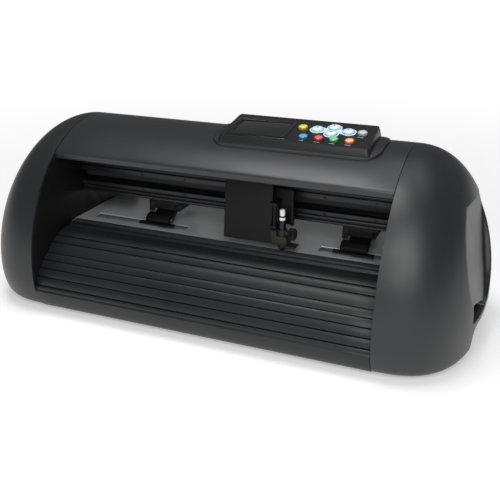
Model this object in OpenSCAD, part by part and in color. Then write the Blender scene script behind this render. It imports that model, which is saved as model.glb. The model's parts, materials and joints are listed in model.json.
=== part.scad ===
// Desktop vinyl cutter: a casing with domed ends over a media bed, a beam and a travelling blade.
// X runs along the machine, Y from front to back, Z up; the origin is at the floor, mid footprint.

/* [Casing] */
// Distance between the two end caps
bay_w = 420; // [400:10:520]
// Length of one domed end cap
cap_len = 98; // [90:1:110]
// Wall of the moulded casing parts
wall = 3; // [2.5:0.1:3.5]
// Front half of the casing's depth, from its crown
front_reach = 153; // [150:1:158]
// Rear half of the casing's depth, from its crown
rear_reach = 103; // [100:1:108]
// Height of the crown above the waist
rise = 170.5; // [168:0.5:174]

/* [Media path] */
// Height of the media bed
bed_z = 93; // [92:0.5:93]
// Radius of the gripping drums
drum_r = 8; // [7.5:0.1:8]
// Radius of the pinch rollers
pinch_r = 6; // [5:0.1:6]
// Place of the left pinch unit
left_pinch_x = -92; // [-120:1:-80]
// Place of the right pinch unit
right_pinch_x = 162; // [140:1:170]

/* [Carriage] */
// Left edge of the carriage cover
carriage_x = 7; // [-60:1:60]
// Width of the carriage cover
carriage_w = 59.5; // [59:0.5:60]
// Radius of the blade holder's barrel
holder_r = 4.5; // [3.5:0.1:4.5]

/* [Control panel] */
// Left edge of the panel's top face
panel_x = -2; // [-60:1:20]
// Slope of the panel's top face in degrees
panel_tilt = 12.25; // [12:0.25:12.5]
// Radius of the round keys
key_r = 5.6; // [5:0.1:5.7]
// Radius of the arrow keys
arrow_r = 7; // [6:0.1:7]

/* [Hidden] */
$fn = 64;

// Casing profile: an arch over the crown line, a waist, and rounded lower corners
half_bay = bay_w / 2;
crown_y = 25;
waist_z = 47;
floor_gap = 3;
corner_r = 24;
corner_h = waist_z - floor_gap;
rear_power = 2.4;
arch_steps = 16;
corner_steps = 6;

// End caps: how fast the dome closes towards its end, in depth, upwards and downwards
depth_power = 2.6;
up_power = 2.2;
down_power = 4;
dome_steps = 14;

// Hand recess in each end cap
dish_base = 105.5;
dish_lean = 0.22;
dish_shape = [[-72, 69], [-49, 68], [0, 52], [22, 50], [46, 68], [66, 104], [80, 142], [77, 155],
    [70, 162], [58, 165], [-10, 168], [-72, 168]];
pocket_shape = [[-50, 49.5], [2, 49.5], [2, 54], [-45, 69], [-50, 69]];
grip_floor = 76;
grip_y = [-45, 75];
grip_z = 42;
grip_r = 14;

// Cover opening and media exit
lip_angle = 124.3;
exit_z = 150;
lip_drop = 6;

// Power module at the back of the right cap
module_x = [half_bay + 12, half_bay + 58];
rocker_x = half_bay + 43.5;
rocker_w = 11.4;
rocker_y = 101;
rocker_z = 32;

// Frame
frame_t = 2.5;
plate_z = 8;
plate_t = 2;
screw_x = 120;
screw_y = [-60, 66];
foot_x = half_bay - 30;
foot_y = [-78, 88];
beam_y = [-4, 34];
beam_z = [124, 168];
beam_wall = 3;
slot_z = [138, 152];
rail_y = -8;
bed_y = [-43, 80];
bed_t = 2;
strip_y = [-42.5, -32];
shaft_y = -10;
shaft_z = 85.5;
shaft_r = 4;
left_drum = [-188, -60];
right_drum = [118, 198];
run_gap = 0.05;

// Feed drive
feed_motor_y = 31;
feed_motor_z = 51;
shaft_pulley_r = 18;
motor_pulley_r = 7;
belt_t = 1.4;
feed_belt_x = [-228, -220];

// Carriage drive
loop_y = 14;
loop_z = [141, 149];
loop_r = 8;
pulley_x = half_bay + 22;
motor_w = 42;

// Carriage
tool_x = carriage_x + 72;
tool_y = -37.5;
guide_roller_r = 6.65;
channel_z = (slot_z[0] + slot_z[1]) / 2;
pin_x = tool_x - 8;
pin_y = [-42, -32];
pin_r = 2;
knob_z = 116.5;
knob_r = 7;
blade_r = 1;

// Pinch units
pivot_y = 12;
pivot_z = 112;
lever_y = 44;
roller_z = shaft_z + drum_r + 0.4 + pinch_r;

// Panel
panel_w = 168;
face_y = -19;
face_z = 221.3;
face_t = 2.5;
flange_t = 3.2;
key_travel_gap = 0.35;
display_w = 73;
display_h = 47.5;
screen_w = 62;
screen_h = 34;
// Centre of each key on the face: distance along it, and distance up its slope
round_keys = [[86, 33], [156, 32.5], [94, 9.5], [112, 9.5], [129.5, 9.5], [147.5, 9.5]];
arrow_keys = [[103.5, 32], [140, 32.5], [121.5, 40], [122, 24.4]];

function quarter(c, r, p, a0, a1, n) = [for (i = [0:n])
    let (a = a0 + (a1 - a0) * i / n)
    [c[0] + r[0] * sign(cos(a)) * pow(abs(cos(a)), 2 / p),
     c[1] + r[1] * sign(sin(a)) * pow(abs(sin(a)), 2 / p)]];

function rear_arch(inset, a0, a1) = quarter([crown_y, waist_z],
    [rear_reach - inset, rise - inset], rear_power, a0, a1, arch_steps);

function front_arch(inset, a0, a1) = quarter([crown_y, waist_z],
    [front_reach - inset, rise - inset], 2, a0, a1, arch_steps);

function front_corner(inset, a0, a1) = quarter([crown_y - front_reach + corner_r, waist_z],
    [corner_r - inset, corner_h - inset], 2, a0, a1, corner_steps);

function rear_corner(inset, a0, a1) = quarter([crown_y + rear_reach - corner_r, waist_z],
    [corner_r - inset, corner_h - inset], 2, a0, a1, corner_steps);

function tail(list) = [for (i = [1:len(list) - 1]) list[i]];

function reversed(list) = [for (i = [len(list) - 1:-1:0]) list[i]];

// Whole outline of the casing in the YZ plane, counterclockwise from the rear waist
function outline(inset) = concat(rear_arch(inset, 0, 90), tail(front_arch(inset, 90, 180)),
    tail(front_corner(inset, 180, 270)), rear_corner(inset, 270, 354));

function rear_angle(z) = asin(pow((z - waist_z) / rise, rear_power / 2));

// Height of the cover's outer surface above the crown line
function arch_z(y, inset) = y < crown_y
    ? waist_z + (rise - inset) * sqrt(1 - pow((crown_y - y) / (front_reach - inset), 2))
    : waist_z + (rise - inset)
        * pow(1 - pow((y - crown_y) / (rear_reach - inset), rear_power), 1 / rear_power);

function close_by(u, p) = pow(max(0, 1 - pow(u, p)), 1 / p);

// One section of the dome: the outline drawn in towards the crown line and the waist
function dome_ring(inset, u) = [for (p = outline(inset))
    [half_bay + u * (cap_len - inset),
     crown_y + (p[0] - crown_y) * close_by(u, depth_power),
     waist_z + (p[1] - waist_z) * close_by(u, p[1] > waist_z ? up_power : down_power)]];

module along_x(x0, x1) {
    translate([x0, 0, 0])
        rotate([90, 0, 90])
            linear_extrude(x1 - x0)
                children();
}

module block(low, high) {
    translate(low)
        cube(high - low);
}

module rod_x(x0, x1, y, z, r) {
    translate([x0, y, z])
        rotate([0, 90, 0])
            cylinder(r = r, h = x1 - x0);
}

module rod_y(y0, y1, x, z, r) {
    translate([x, y0, z])
        rotate([-90, 0, 0])
            cylinder(r = r, h = y1 - y0);
}

module rod_z(z0, z1, x, y, r) {
    translate([x, y, z0])
        cylinder(r = r, h = z1 - z0);
}

// Solid dome of the right end, from its open side to its closed end
module dome(inset, open_x) {
    outer = outline(inset);
    n = len(outer);
    steps = [for (i = [0:dome_steps - 1]) pow(sin(90 * i / dome_steps), 0.8)];
    start = [for (p = outer) [open_x, p[0], p[1]]];
    rings = concat(start, [for (u = steps) each dome_ring(inset, u)]);
    tip = [half_bay + cap_len - inset, crown_y, waist_z];
    last = len(steps) * n;
    sides = [for (k = [0:len(steps) - 1]) for (i = [0:n - 1])
        let (j = (i + 1) % n)
        each [[k * n + i, (k + 1) * n + i, k * n + j],
              [k * n + j, (k + 1) * n + i, (k + 1) * n + j]]];
    end = [for (i = [0:n - 1]) [last + i, len(rings), last + (i + 1) % n]];
    polyhedron(concat(rings, [tip]), concat([[for (i = [0:n - 1]) i]], sides, end), convexity = 6);
}

// Hollow of the hand recess, grown by a wall where the lining is made: a palm rest whose floor
// leans in towards its top, a pocket at its foot for the thumb, and under them a hollow for the fingers
module hand_recess(grow) {
    x_palm = half_bay + dish_base - grow;
    x_grip = half_bay + grip_floor - grow;
    far = half_bay + cap_len + 10;
    multmatrix([[1, 0, -dish_lean, x_palm], [0, 1, 0, 0], [0, 0, 1, 0]])
        along_x(0, cap_len)
            offset(r = grow)
                polygon(dish_shape);
    translate([x_grip, 0, 0])
        along_x(0, far - x_grip)
            offset(r = grow)
                polygon(pocket_shape);
    translate([x_grip, 0, 0])
        along_x(0, far - x_grip)
            hull() {
                translate([grip_y[0] - grow, -5])
                    square([grip_y[1] - grip_y[0] + 2 * grow, 10]);
                translate([grip_y[0] + grip_r, grip_z - grip_r])
                    circle(grip_r + grow, $fn = 32);
                translate([grip_y[1] - grip_r, grip_z - grip_r])
                    circle(grip_r + grow, $fn = 32);
            }
}

// Recess at the back of the right cap that holds the sockets
module socket_recess(grow) {
    block([half_bay + 8 - grow, 105 - grow, 18 - grow],
        [half_bay + 62 + grow, 140, 66 + grow]);
}

module cap_shell() {
    difference() {
        dome(0, half_bay);
        dome(wall, half_bay - 1);
    }
}

// The shell with the hand recess moulded into it
module gripped_cap() {
    difference() {
        union() {
            cap_shell();
            intersection() {
                dome(0, half_bay);
                hand_recess(wall);
            }
        }
        hand_recess(0);
    }
}

module left_end_cap() {
    color("#34363a")
        mirror([1, 0, 0])
            resize([0, 0, 0])
                gripped_cap();
}

module right_end_cap() {
    color("#34363a")
        resize([0, 0, 0])
            difference() {
                gripped_cap();
                socket_recess(wall + 0.1);
            }
}

module socket_tray() {
    color("#2b2d30")
        resize([0, 0, 0])
            difference() {
                intersection() {
                    dome(0.2, half_bay);
                    socket_recess(wall);
                }
                socket_recess(0);
                power_module_body(0.2);
            }
}

// Power module: the inlet's cavity with its pins, and the frame of the rocker switch
module power_module_body(gap) {
    block([module_x[0] - gap, 85 - gap, 20 - gap], [module_x[1] + gap, 105.5 + gap, 44 + gap]);
}

module power_inlet() {
    x0 = module_x[0];
    color("#141414") {
        difference() {
            union() {
                power_module_body(0);
                block([x0 - 1.5, 105, 18.5], [module_x[1] + 1.5, 107, 45.5]);
            }
            block([x0 + 2.5, 89, 25], [x0 + 25.5, 108, 39]);
            block([rocker_x - 0.5, 95.4, 22.4], [rocker_x + rocker_w + 0.5, 108, 41.6]);
            rod_x(rocker_x - 1.5, rocker_x + rocker_w + 1.5, rocker_y, rocker_z, 1.5 + run_gap);
        }
        for (pin = [[14, 35], [7, 29], [21, 29]])
            block([x0 + pin[0] - 1, 88, pin[1] - 2.5], [x0 + pin[0] + 1, 98, pin[1] + 2.5]);
    }
}

// Rocker that tips about its two stub pins
module power_switch() {
    color("#101010") {
        along_x(rocker_x, rocker_x + rocker_w)
            polygon([[98, 25], [105.8, 24], [108.2, 24.6], [106.8, 32], [105.4, 40], [98, 39]]);
        rod_x(rocker_x - 1.2, rocker_x + rocker_w + 1.2, rocker_y, rocker_z, 1.5);
    }
}

module base_plate() {
    bay = half_bay - 1;
    wing = half_bay + 60;
    color("#8b8f94")
        difference() {
            union() {
                block([-bay, -100, plate_z], [bay, 108, plate_z + plate_t]);
                block([-wing, -80, plate_z], [wing, 88, plate_z + plate_t]);
            }
            for (x = [-screw_x, screw_x]) for (y = screw_y)
                rod_z(plate_z - 1, plate_z + plate_t + 1, x, y, 1.7);
        }
}

module case_screws() {
    color("#c0c2c5")
        for (x = [-screw_x, screw_x]) for (y = screw_y) {
            rod_z(plate_z - 2, plate_z, x, y, 3);
            rod_z(plate_z - 0.5, plate_z + 8, x, y, 1.6);
        }
}

module rubber_feet() {
    color("#1b1b1c")
        for (x = [-foot_x, foot_x]) for (y = foot_y)
            difference() {
                rod_z(0, plate_z, x, y, 11);
                rod_z(-1, 3, x, y, 4);
            }
}

// Steel cheek between the bay and a cap; the right one carries the motor shelf
module side_frame(with_motor_hole) {
    difference() {
        union() {
            along_x(half_bay, half_bay + frame_t)
                polygon([for (p = outline(wall + 0.5)) if (p[1] > plate_z + plate_t + 0.5) p]);
            block([half_bay + frame_t, loop_y - 24, 130], [half_bay + 46, loop_y + 24, 132.5]);
        }
        rod_x(half_bay - 1, half_bay + 5, shaft_y, shaft_z, drum_r);
        block([half_bay - 1, loop_y - 14, slot_z[0]], [half_bay + 5, loop_y + 14, slot_z[1]]);
        rod_z(128, 134, pulley_x, loop_y, 3);
        for (y = [beam_y[0] + 6, beam_y[1] - 6])
            rod_x(half_bay - 1, half_bay + 5, y, 160, 1.7);
        if (with_motor_hole)
            rod_x(half_bay - 1, half_bay + 5, feed_motor_y, feed_motor_z, 5);
        rod_x(half_bay - 1, half_bay + 5, 70, 40, 8);
    }
}

module left_side_frame() {
    color("#26282b")
        mirror([1, 0, 0])
            side_frame(true);
}

module right_side_frame() {
    color("#26282b")
        side_frame(false);
}

module cross_members() {
    color("#8b8f94")
        for (y = [-30, 72]) {
            block([-half_bay, y, 14], [half_bay, y + 2, bed_z - bed_t]);
            block([-half_bay, y, plate_z + plate_t], [half_bay, y + 12, 14]);
        }
}

// Hollow extrusion with a slot for the belt clamp and two rails on its face
module main_beam() {
    color("#3a3d41")
        along_x(-half_bay, half_bay)
            difference() {
                union() {
                    translate([beam_y[0], beam_z[0]])
                        square([beam_y[1] - beam_y[0], beam_z[1] - beam_z[0]]);
                    translate([rail_y, beam_z[0]])
                        square([beam_y[0] - rail_y, beam_z[1] - beam_z[0]]);
                }
                translate([beam_y[0] + beam_wall, beam_z[0] + beam_wall])
                    square([beam_y[1] - beam_y[0] - 2 * beam_wall,
                        beam_z[1] - beam_z[0] - 2 * beam_wall]);
                translate([rail_y - 1, slot_z[0]])
                    square([beam_y[0] + beam_wall - rail_y + 2, slot_z[1] - slot_z[0]]);
                for (z = [130, 160])
                    translate([rail_y - 1, z])
                        square([2, 1.2]);
            }
}

module platen() {
    color("#b9bdc1")
        difference() {
            union() {
                block([-half_bay + 0.3, bed_y[0], bed_z - bed_t], [half_bay - 0.3, bed_y[1], bed_z]);
                for (y = [bed_y[0], bed_y[1] - bed_t])
                    block([-half_bay + 0.3, y, bed_z - 9], [half_bay - 0.3, y + bed_t, bed_z]);
            }
            for (drum = [left_drum, right_drum])
                block([drum[0] - 2, shaft_y - 7.5, bed_z - 4], [drum[1] + 2, shaft_y + 7.5, bed_z + 1]);
            block([-half_bay, strip_y[0], bed_z - 0.8], [half_bay, strip_y[1], bed_z + 1]);
        }
}

module cutting_strip() {
    color("#e8e6df")
        block([-half_bay + 3, strip_y[0] + 0.1, bed_z - 0.8], [half_bay - 3, strip_y[1] - 0.1, bed_z + 0.2]);
}

// Grooves of the front apron, from the bed down to the smooth band
apron_grooves = [[-50, 89.5], [-60, 88], [-74, 84], [-83, 78], [-96, 69], [-104.5, 62.5],
    [-112.5, 55], [-118, 46], [-122.5, 36], [-125, 31]];

// A rib bulges between two grooves
function rib(p, q) = let (d = q - p, h = 1.6 / norm(d)) [for (t = [0, 0.25, 0.5, 0.75])
    p + t * d + 4 * t * (1 - t) * h * [-abs(d[1]), abs(d[0])]];

module front_apron() {
    grooves = apron_grooves;
    n = len(grooves);
    ribs = [for (i = [0:n - 2]) each rib(grooves[i], grooves[i + 1])];
    band = [[-126, 29], [-123.5, 19], [-119, 11], [-112, 4.5], [-106, 3], [-94, 3], [-94, 5.5]];
    inside = concat([[-105, 5.5], [-110, 7], [-116, 13], [-120, 21]],
        [for (i = [n - 1:-1:0]) grooves[i] + [3, -3]]);
    color("#2f3134")
        along_x(-half_bay + 0.5, half_bay - 0.5)
            polygon(concat([[-45, 88], [-45, 90.5]], ribs, [grooves[n - 1]], band, inside));
}

module rear_apron() {
    low_angle = rear_angle(84);
    skin = rear_arch(0.5, low_angle, 0);
    inner = reversed(rear_arch(wall + 0.5, low_angle, 0));
    color("#2f3134")
        along_x(-half_bay + 0.5, half_bay - 0.5)
            polygon(concat([[bed_y[1] + 1, 91.5], [112, 89.5], [121, 88]], skin,
                tail(reversed(rear_corner(0.5, 270, 360))), [[100, 3.5], [100, 6.5]],
                rear_corner(wall + 0.5, 270, 350), inner,
                [[118, 85], [bed_y[1] + 1, 88.5]]));
}

// Outer line of the top cover, from its lip over the crown to the media exit
function cover_arch(grow) =
    concat(front_arch(-grow, lip_angle, 90), tail(rear_arch(-grow, 90, rear_angle(exit_z))));

module top_cover() {
    lip = front_arch(0, lip_angle, 90)[0];
    inner_lip = front_arch(wall, lip_angle, 90)[0];
    color("#3c3f43")
        difference() {
            along_x(-half_bay + 0.5, half_bay - 0.5)
                polygon(concat(cover_arch(0), reversed(cover_arch(-wall)),
                    [[inner_lip[0] + 1.5, inner_lip[1] - lip_drop],
                     [lip[0] + 0.8, lip[1] - lip_drop - 1]]));
            rod_z(200, 230, panel_x + 30, 12, 9);
        }
}

// Everything under the outer skin of the arch, grown outwards
module under_arch(grow) {
    along_x(-half_bay - 100, half_bay + 100)
        polygon(concat([[-100, 100]], cover_arch(grow), [[120, 100]]));
}

module rounded_prism(low, high, r) {
    rod_list = [[low[0] + r, low[1] + r], [high[0] - r, low[1] + r],
        [low[0] + r, high[1] - r], [high[0] - r, high[1] - r]];
    block([low[0] + r, low[1], low[2]], [high[0] - r, high[1], high[2]]);
    block([low[0], low[1] + r, low[2]], [high[0], high[1] - r, high[2]]);
    for (c = rod_list)
        rod_z(low[2], high[2], c[0], c[1], r);
}

module panel_base() {
    color("#2e3033")
        difference() {
            intersection() {
                rounded_prism([panel_x - 17, -26, 190], [panel_x + panel_w + 16, 46, 240], 20);
                under_arch(flange_t);
            }
            under_arch(0);
            block([panel_x + 4, -18, 190], [panel_x + panel_w - 4, 32, 240]);
        }
}

// Frame of the panel's sloping face: X along it, Y up the slope, Z out of it
module on_face(x, y) {
    translate([x, face_y, face_z])
        rotate([panel_tilt, 0, 0])
            translate([0, y, 0])
                children();
}

module housing_solid(inset) {
    intersection() {
        along_x(panel_x - 20, panel_x + panel_w + 20)
            polygon([[-25 + inset, 190], [-25 + inset, 214 - inset], [-22.5 + inset, 220.4 - inset],
                [36 - inset, 233.1 - inset * 1.02], [38.5 - inset, 230 - inset], [40 - inset, 190]]);
        translate([0, 60, 0])
            rotate([90, 0, 0])
                linear_extrude(120)
                    polygon([[panel_x - 7 + inset, 190], [panel_x - 6 + inset, 213],
                        [panel_x + inset, 240], [panel_x + panel_w - inset, 240],
                        [panel_x + panel_w + 6 - inset, 213], [panel_x + panel_w + 7 - inset, 190]]);
    }
}

module panel_housing() {
    color("#33363a")
        difference() {
            housing_solid(0);
            housing_solid(face_t);
            under_arch(flange_t);
            for (k = round_keys)
                on_face(k[0] + panel_x, k[1])
                    cylinder(r = key_r + key_travel_gap, h = 12, center = true);
            for (k = arrow_keys)
                on_face(k[0] + panel_x, k[1])
                    cylinder(r = arrow_r + key_travel_gap, h = 12, center = true);
            on_face(panel_x + 2, 0)
                translate([0, 0, -1.2])
                    cube([display_w, display_h, 4]);
            on_face(panel_x + 8, 8)
                translate([0, 0, -6])
                    cube([screen_w, screen_h, 12]);
        }
}

module display_window() {
    color("#0b0c0e")
        on_face(panel_x + 2, 0)
            difference() {
                translate([0.2, 0.2, -1.2])
                    cube([display_w - 0.4, display_h - 0.4, 1.6]);
                translate([6, 8, -3])
                    cube([screen_w, screen_h, 6]);
            }
}

module display_screen() {
    color("#3c3f38")
        on_face(panel_x + 8, 8)
            translate([0.2, 0.2, -3.2])
                cube([screen_w - 0.4, screen_h - 0.4, 3]);
}

module keypad_board() {
    color("#1d5b34")
        on_face(panel_x + 79, 4)
            translate([0, 0, -7.6])
                cube([84, 42, 1.6]);
}

// A domed key cap with a retaining flange under the face
module key(k, r) {
    on_face(k[0] + panel_x, k[1]) {
        intersection() {
            translate([0, 0, -4.5])
                cylinder(r = r, h = 8);
            translate([0, 0, 3.2 - 2.6 * r])
                sphere(r = 2.6 * r, $fn = 96);
        }
        translate([0, 0, -4.5])
            cylinder(r = r + 0.3, h = 1.6);
    }
}

module key_yellow() {
    color("#e8d24a")
        key(round_keys[0], key_r);
}

module key_grey() {
    color("#c9c9cc")
        key(round_keys[1], key_r);
}

module key_blue() {
    color("#3fa9dc")
        key(round_keys[2], key_r);
}

module key_red() {
    color("#e0525c")
        key(round_keys[3], key_r);
}

module key_green() {
    color("#79d488")
        key(round_keys[4], key_r);
}

module key_orange() {
    color("#f0b48f")
        key(round_keys[5], key_r);
}

module key_left() {
    color("#dff3f8")
        key(arrow_keys[0], arrow_r);
}

module key_right() {
    color("#dff3f8")
        key(arrow_keys[1], arrow_r);
}

module key_up() {
    color("#dff3f8")
        key(arrow_keys[2], arrow_r);
}

module key_down() {
    color("#dff3f8")
        key(arrow_keys[3], arrow_r);
}

module grit_shaft() {
    color("#a7a9ac") {
        rod_x(-half_bay - 22, half_bay + 12, shaft_y, shaft_z, shaft_r);
        for (drum = [left_drum, right_drum])
            rod_x(drum[0], drum[1], shaft_y, shaft_z, drum_r);
    }
}

module shaft_bearings() {
    color("#b5893c")
        for (side = [-1, 1])
            difference() {
                union() {
                    for (seat = [[1.5, drum_r], [4, drum_r + 1.5]])
                        rod_x(side * (half_bay + seat[0]) - 1.5, side * (half_bay + seat[0]) + 1.5,
                            shaft_y, shaft_z, seat[1]);
                }
                rod_x(side * half_bay - 10, side * half_bay + 10, shaft_y, shaft_z, shaft_r + run_gap);
            }
}

module feed_shaft_pulley() {
    color("#9da0a4")
        difference() {
            union() {
                rod_x(feed_belt_x[0], feed_belt_x[1], shaft_y, shaft_z, shaft_pulley_r - 0.4);
                for (x = [feed_belt_x[0] - 1, feed_belt_x[1]])
                    rod_x(x, x + 1, shaft_y, shaft_z, shaft_pulley_r + 1.6);
            }
            rod_x(feed_belt_x[0] - 2, feed_belt_x[1] + 2, shaft_y, shaft_z, shaft_r);
        }
}

module feed_motor_pulley() {
    color("#9da0a4") {
        rod_x(feed_belt_x[0], feed_belt_x[1], feed_motor_y, feed_motor_z, motor_pulley_r - 0.4);
        for (x = [feed_belt_x[0] - 1, feed_belt_x[1]])
            rod_x(x, x + 1, feed_motor_y, feed_motor_z, motor_pulley_r + 1.6);
        rod_x(feed_belt_x[0], -half_bay + 3, feed_motor_y, feed_motor_z, 2.5);
    }
}

// Outline of a belt round the two feed pulleys, grown by its thickness
function feed_loop(grow) = let (
        gap = [feed_motor_y - shaft_y, feed_motor_z - shaft_z],
        lean = asin((shaft_pulley_r - motor_pulley_r) / norm(gap)),
        base = atan2(gap[1], gap[0]),
        up = base + 90 - lean,
        down = base - 90 + lean)
    concat(
        [for (i = [0:24]) let (a = up + (down + 360 - up) * i / 24)
            [shaft_y, shaft_z] + (shaft_pulley_r + grow) * [cos(a), sin(a)]],
        [for (i = [0:16]) let (a = down + (up - down) * i / 16)
            [feed_motor_y, feed_motor_z] + (motor_pulley_r + grow) * [cos(a), sin(a)]]);

module feed_belt() {
    color("#1a1a1b")
        along_x(feed_belt_x[0] + 0.5, feed_belt_x[1] - 0.5)
            difference() {
                polygon(feed_loop(belt_t));
                polygon(feed_loop(0));
            }
}

module feed_motor() {
    half = motor_w / 2;
    x1 = -half_bay + 0.2;
    color("#4a4d52")
        difference() {
            union() {
                block([x1, feed_motor_y - half, feed_motor_z - half],
                    [x1 + 9, feed_motor_y + half, feed_motor_z + half]);
                rod_x(x1 + 9, x1 + 30, feed_motor_y, feed_motor_z, half - 0.5);
                block([x1 + 30, feed_motor_y - half, feed_motor_z - half],
                    [x1 + 38, feed_motor_y + half, feed_motor_z + half]);
            }
            rod_x(x1 - 1, x1 + 6, feed_motor_y, feed_motor_z, 2.5 + run_gap);
        }
}

module carriage_motor() {
    half = motor_w / 2;
    color("#4a4d52")
        difference() {
            union() {
                for (z = [96, 121])
                    block([pulley_x - half + 3, loop_y - half, z],
                        [pulley_x + half + 3, loop_y + half, z + 9]);
                rod_z(105, 121, pulley_x + 3, loop_y, half - 2.5);
            }
            rod_z(124, 131, pulley_x, loop_y, 2.5 + run_gap);
        }
}

module drive_pulley() {
    color("#9da0a4") {
        rod_z(loop_z[0], loop_z[1], pulley_x, loop_y, loop_r - belt_t / 2 - 0.4);
        for (z = [loop_z[0] - 1, loop_z[1]])
            rod_z(z, z + 1, pulley_x, loop_y, loop_r + 1.6);
        rod_z(125, loop_z[0], pulley_x, loop_y, 2.5);
    }
}

module idler_pulley() {
    color("#9da0a4") {
        rod_z(loop_z[0], loop_z[1], -pulley_x, loop_y, loop_r - belt_t / 2 - 0.4);
        for (z = [loop_z[0] - 1, loop_z[1]])
            rod_z(z, z + 1, -pulley_x, loop_y, loop_r + 1.6);
        rod_z(130.5, loop_z[0], -pulley_x, loop_y, 3 - run_gap);
    }
}

module carriage_belt() {
    out = loop_r + belt_t / 2;
    in = loop_r - belt_t / 2;
    color("#1a1a1b")
        difference() {
            union() {
                for (x = [-pulley_x, pulley_x])
                    rod_z(loop_z[0] + 0.5, loop_z[1] - 0.5, x, loop_y, out);
                block([-pulley_x, loop_y - out, loop_z[0] + 0.5], [pulley_x, loop_y + out, loop_z[1] - 0.5]);
            }
            for (x = [-pulley_x, pulley_x])
                rod_z(loop_z[0], loop_z[1], x, loop_y, in);
            block([-pulley_x, loop_y - in, loop_z[0]], [pulley_x, loop_y + in, loop_z[1]]);
        }
}

// Chassis of the carriage: plate, roller axles, belt clamp and the ears that hold the tool's pins
module carriage_plate() {
    x0 = carriage_x + 3;
    x1 = tool_x + 10;
    color("#26282b") {
        difference() {
            union() {
                block([x0, -27, 127], [x1, -24, 166]);
                block([pin_x - 4.5, -46, 123.9], [pin_x + 3.2, -24, 127]);
                block([pin_x + 3, -27, 123.9], [x1, -24, 127.2]);
                block([pin_x - 4.5, -46, 150], [pin_x + 4, -24, 154]);
                block([x1 - 3, -30, 123.9], [x1, -24, 166]);
                block([carriage_x + 25, -26, 142], [carriage_x + 37, 4.8, 148]);
            }
            rod_z(120, 128, tool_x, tool_y, holder_r + 3);
        }
        for (y = pin_y)
            rod_z(106, 152, pin_x, y, pin_r);
        for (x = [carriage_x + 9, carriage_x + 50]) {
            rod_y(-26, 1, x, channel_z, pin_r);
            rod_y(-26, -7.4, x, channel_z, 4);
            rod_y(-0.6, 1, x, channel_z, 3.4);
        }
    }
}

module guide_roller(x) {
    color("#d8d4c6")
        difference() {
            rod_y(-7, -1, x, channel_z, guide_roller_r);
            rod_y(-8, 0, x, channel_z, pin_r + run_gap);
        }
}

module left_guide_roller() {
    guide_roller(carriage_x + 9);
}

module right_guide_roller() {
    guide_roller(carriage_x + 50);
}

module carriage_cover() {
    x1 = carriage_x + carriage_w;
    outer = [[-42, 103], [-35, 172], [-10, 172], [-10, 127], [-29, 127], [-29, 103]];
    inner = [[-40, 102], [-33.2, 170], [-9, 170], [-9, 128], [-29, 126], [-28, 102]];
    color("#141516")
        difference() {
            along_x(carriage_x, x1)
                polygon(outer);
            along_x(carriage_x + 2, x1 - 2)
                polygon(inner);
            block([x1 - 3, -28.5, 100], [x1 + 1, 0, 170]);
        }
}

// Block that carries the holder and slides down on two pins
module tool_slide() {
    x0 = tool_x - 11;
    color("#3d4043")
        difference() {
            union() {
                block([x0, tool_y - 8, 104], [tool_x + 8, tool_y + 8, 114.5]);
                block([x0, tool_y - 8, 104], [pin_x + 3.2, tool_y + 8, 121]);
                rod_z(114, 121, tool_x, tool_y, holder_r + 1.5);
                rod_x(tool_x, tool_x + 8, tool_y, knob_z, 3.4);
                block([tool_x + 3, tool_y - 7, 101.4], [tool_x + 18, tool_y + 7, 103.2]);
                block([tool_x + 3, tool_y - 5, 103], [tool_x + 8, tool_y + 5, 105]);
            }
            rod_z(90, 130, tool_x, tool_y, holder_r);
            for (y = pin_y)
                rod_z(90, 130, pin_x, y, pin_r + run_gap);
            rod_x(tool_x + 4.8, tool_x + 9, tool_y, knob_z, 1.5 + run_gap);
        }
}

module clamp_knob() {
    color("#2a2c2f")
        difference() {
            union() {
                rod_x(tool_x + 8.4, tool_x + 16.5, tool_y, knob_z, knob_r);
                rod_x(tool_x + 5.2, tool_x + 10, tool_y, knob_z, 1.5);
            }
            for (a = [0:20:340])
                translate([tool_x + 9.5, tool_y, knob_z])
                    rotate([a, 0, 0])
                        translate([0, 0, knob_r])
                            rotate([45, 0, 0])
                                translate([0, -0.5, -0.5])
                                    cube([10, 1, 1]);
        }
}

module blade_holder() {
    color("#3a3d40")
        difference() {
            union() {
                rod_z(99, 132, tool_x, tool_y, holder_r);
                translate([tool_x, tool_y, 96])
                    cylinder(r1 = 2.6, r2 = holder_r, h = 3);
                rod_z(132, 135.5, tool_x, tool_y, 3.4);
                rod_z(135.5, 137.5, tool_x, tool_y, 2.4);
                rod_z(137.5, 145, tool_x, tool_y, 3.1);
            }
            rod_z(95, 118, tool_x, tool_y, blade_r + run_gap);
        }
}

module blade() {
    color("#d6d9dc") {
        rod_z(97, 117.5, tool_x, tool_y, blade_r);
        translate([tool_x, tool_y, 95.3])
            cylinder(r1 = 0.15, r2 = blade_r, h = 1.7);
    }
}

module pinch_bracket(x) {
    color("#2c2e31")
        translate([x, 0, 0])
            difference() {
                union() {
                    block([-20, -7, 120.5], [22, 40, 123.5]);
                    block([-20, 34.5, 120.5], [22, 37.5, 172.5]);
                    block([-20, 22, 169.5], [22, 37.5, 172.5]);
                    block([-15.5, -7, 112.5], [15.5, -5, 121]);
                    for (side = [-15.5, 13])
                        along_x(side, side + 2.5)
                            polygon([[-7, 121], [-7, 114], [6, 107], [50, 107], [50, 121]]);
                }
                rod_x(-20, 20, pivot_y, pivot_z, pin_r + run_gap);
                rod_x(-20, 20, lever_y, pivot_z, pin_r + run_gap);
            }
}

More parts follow.
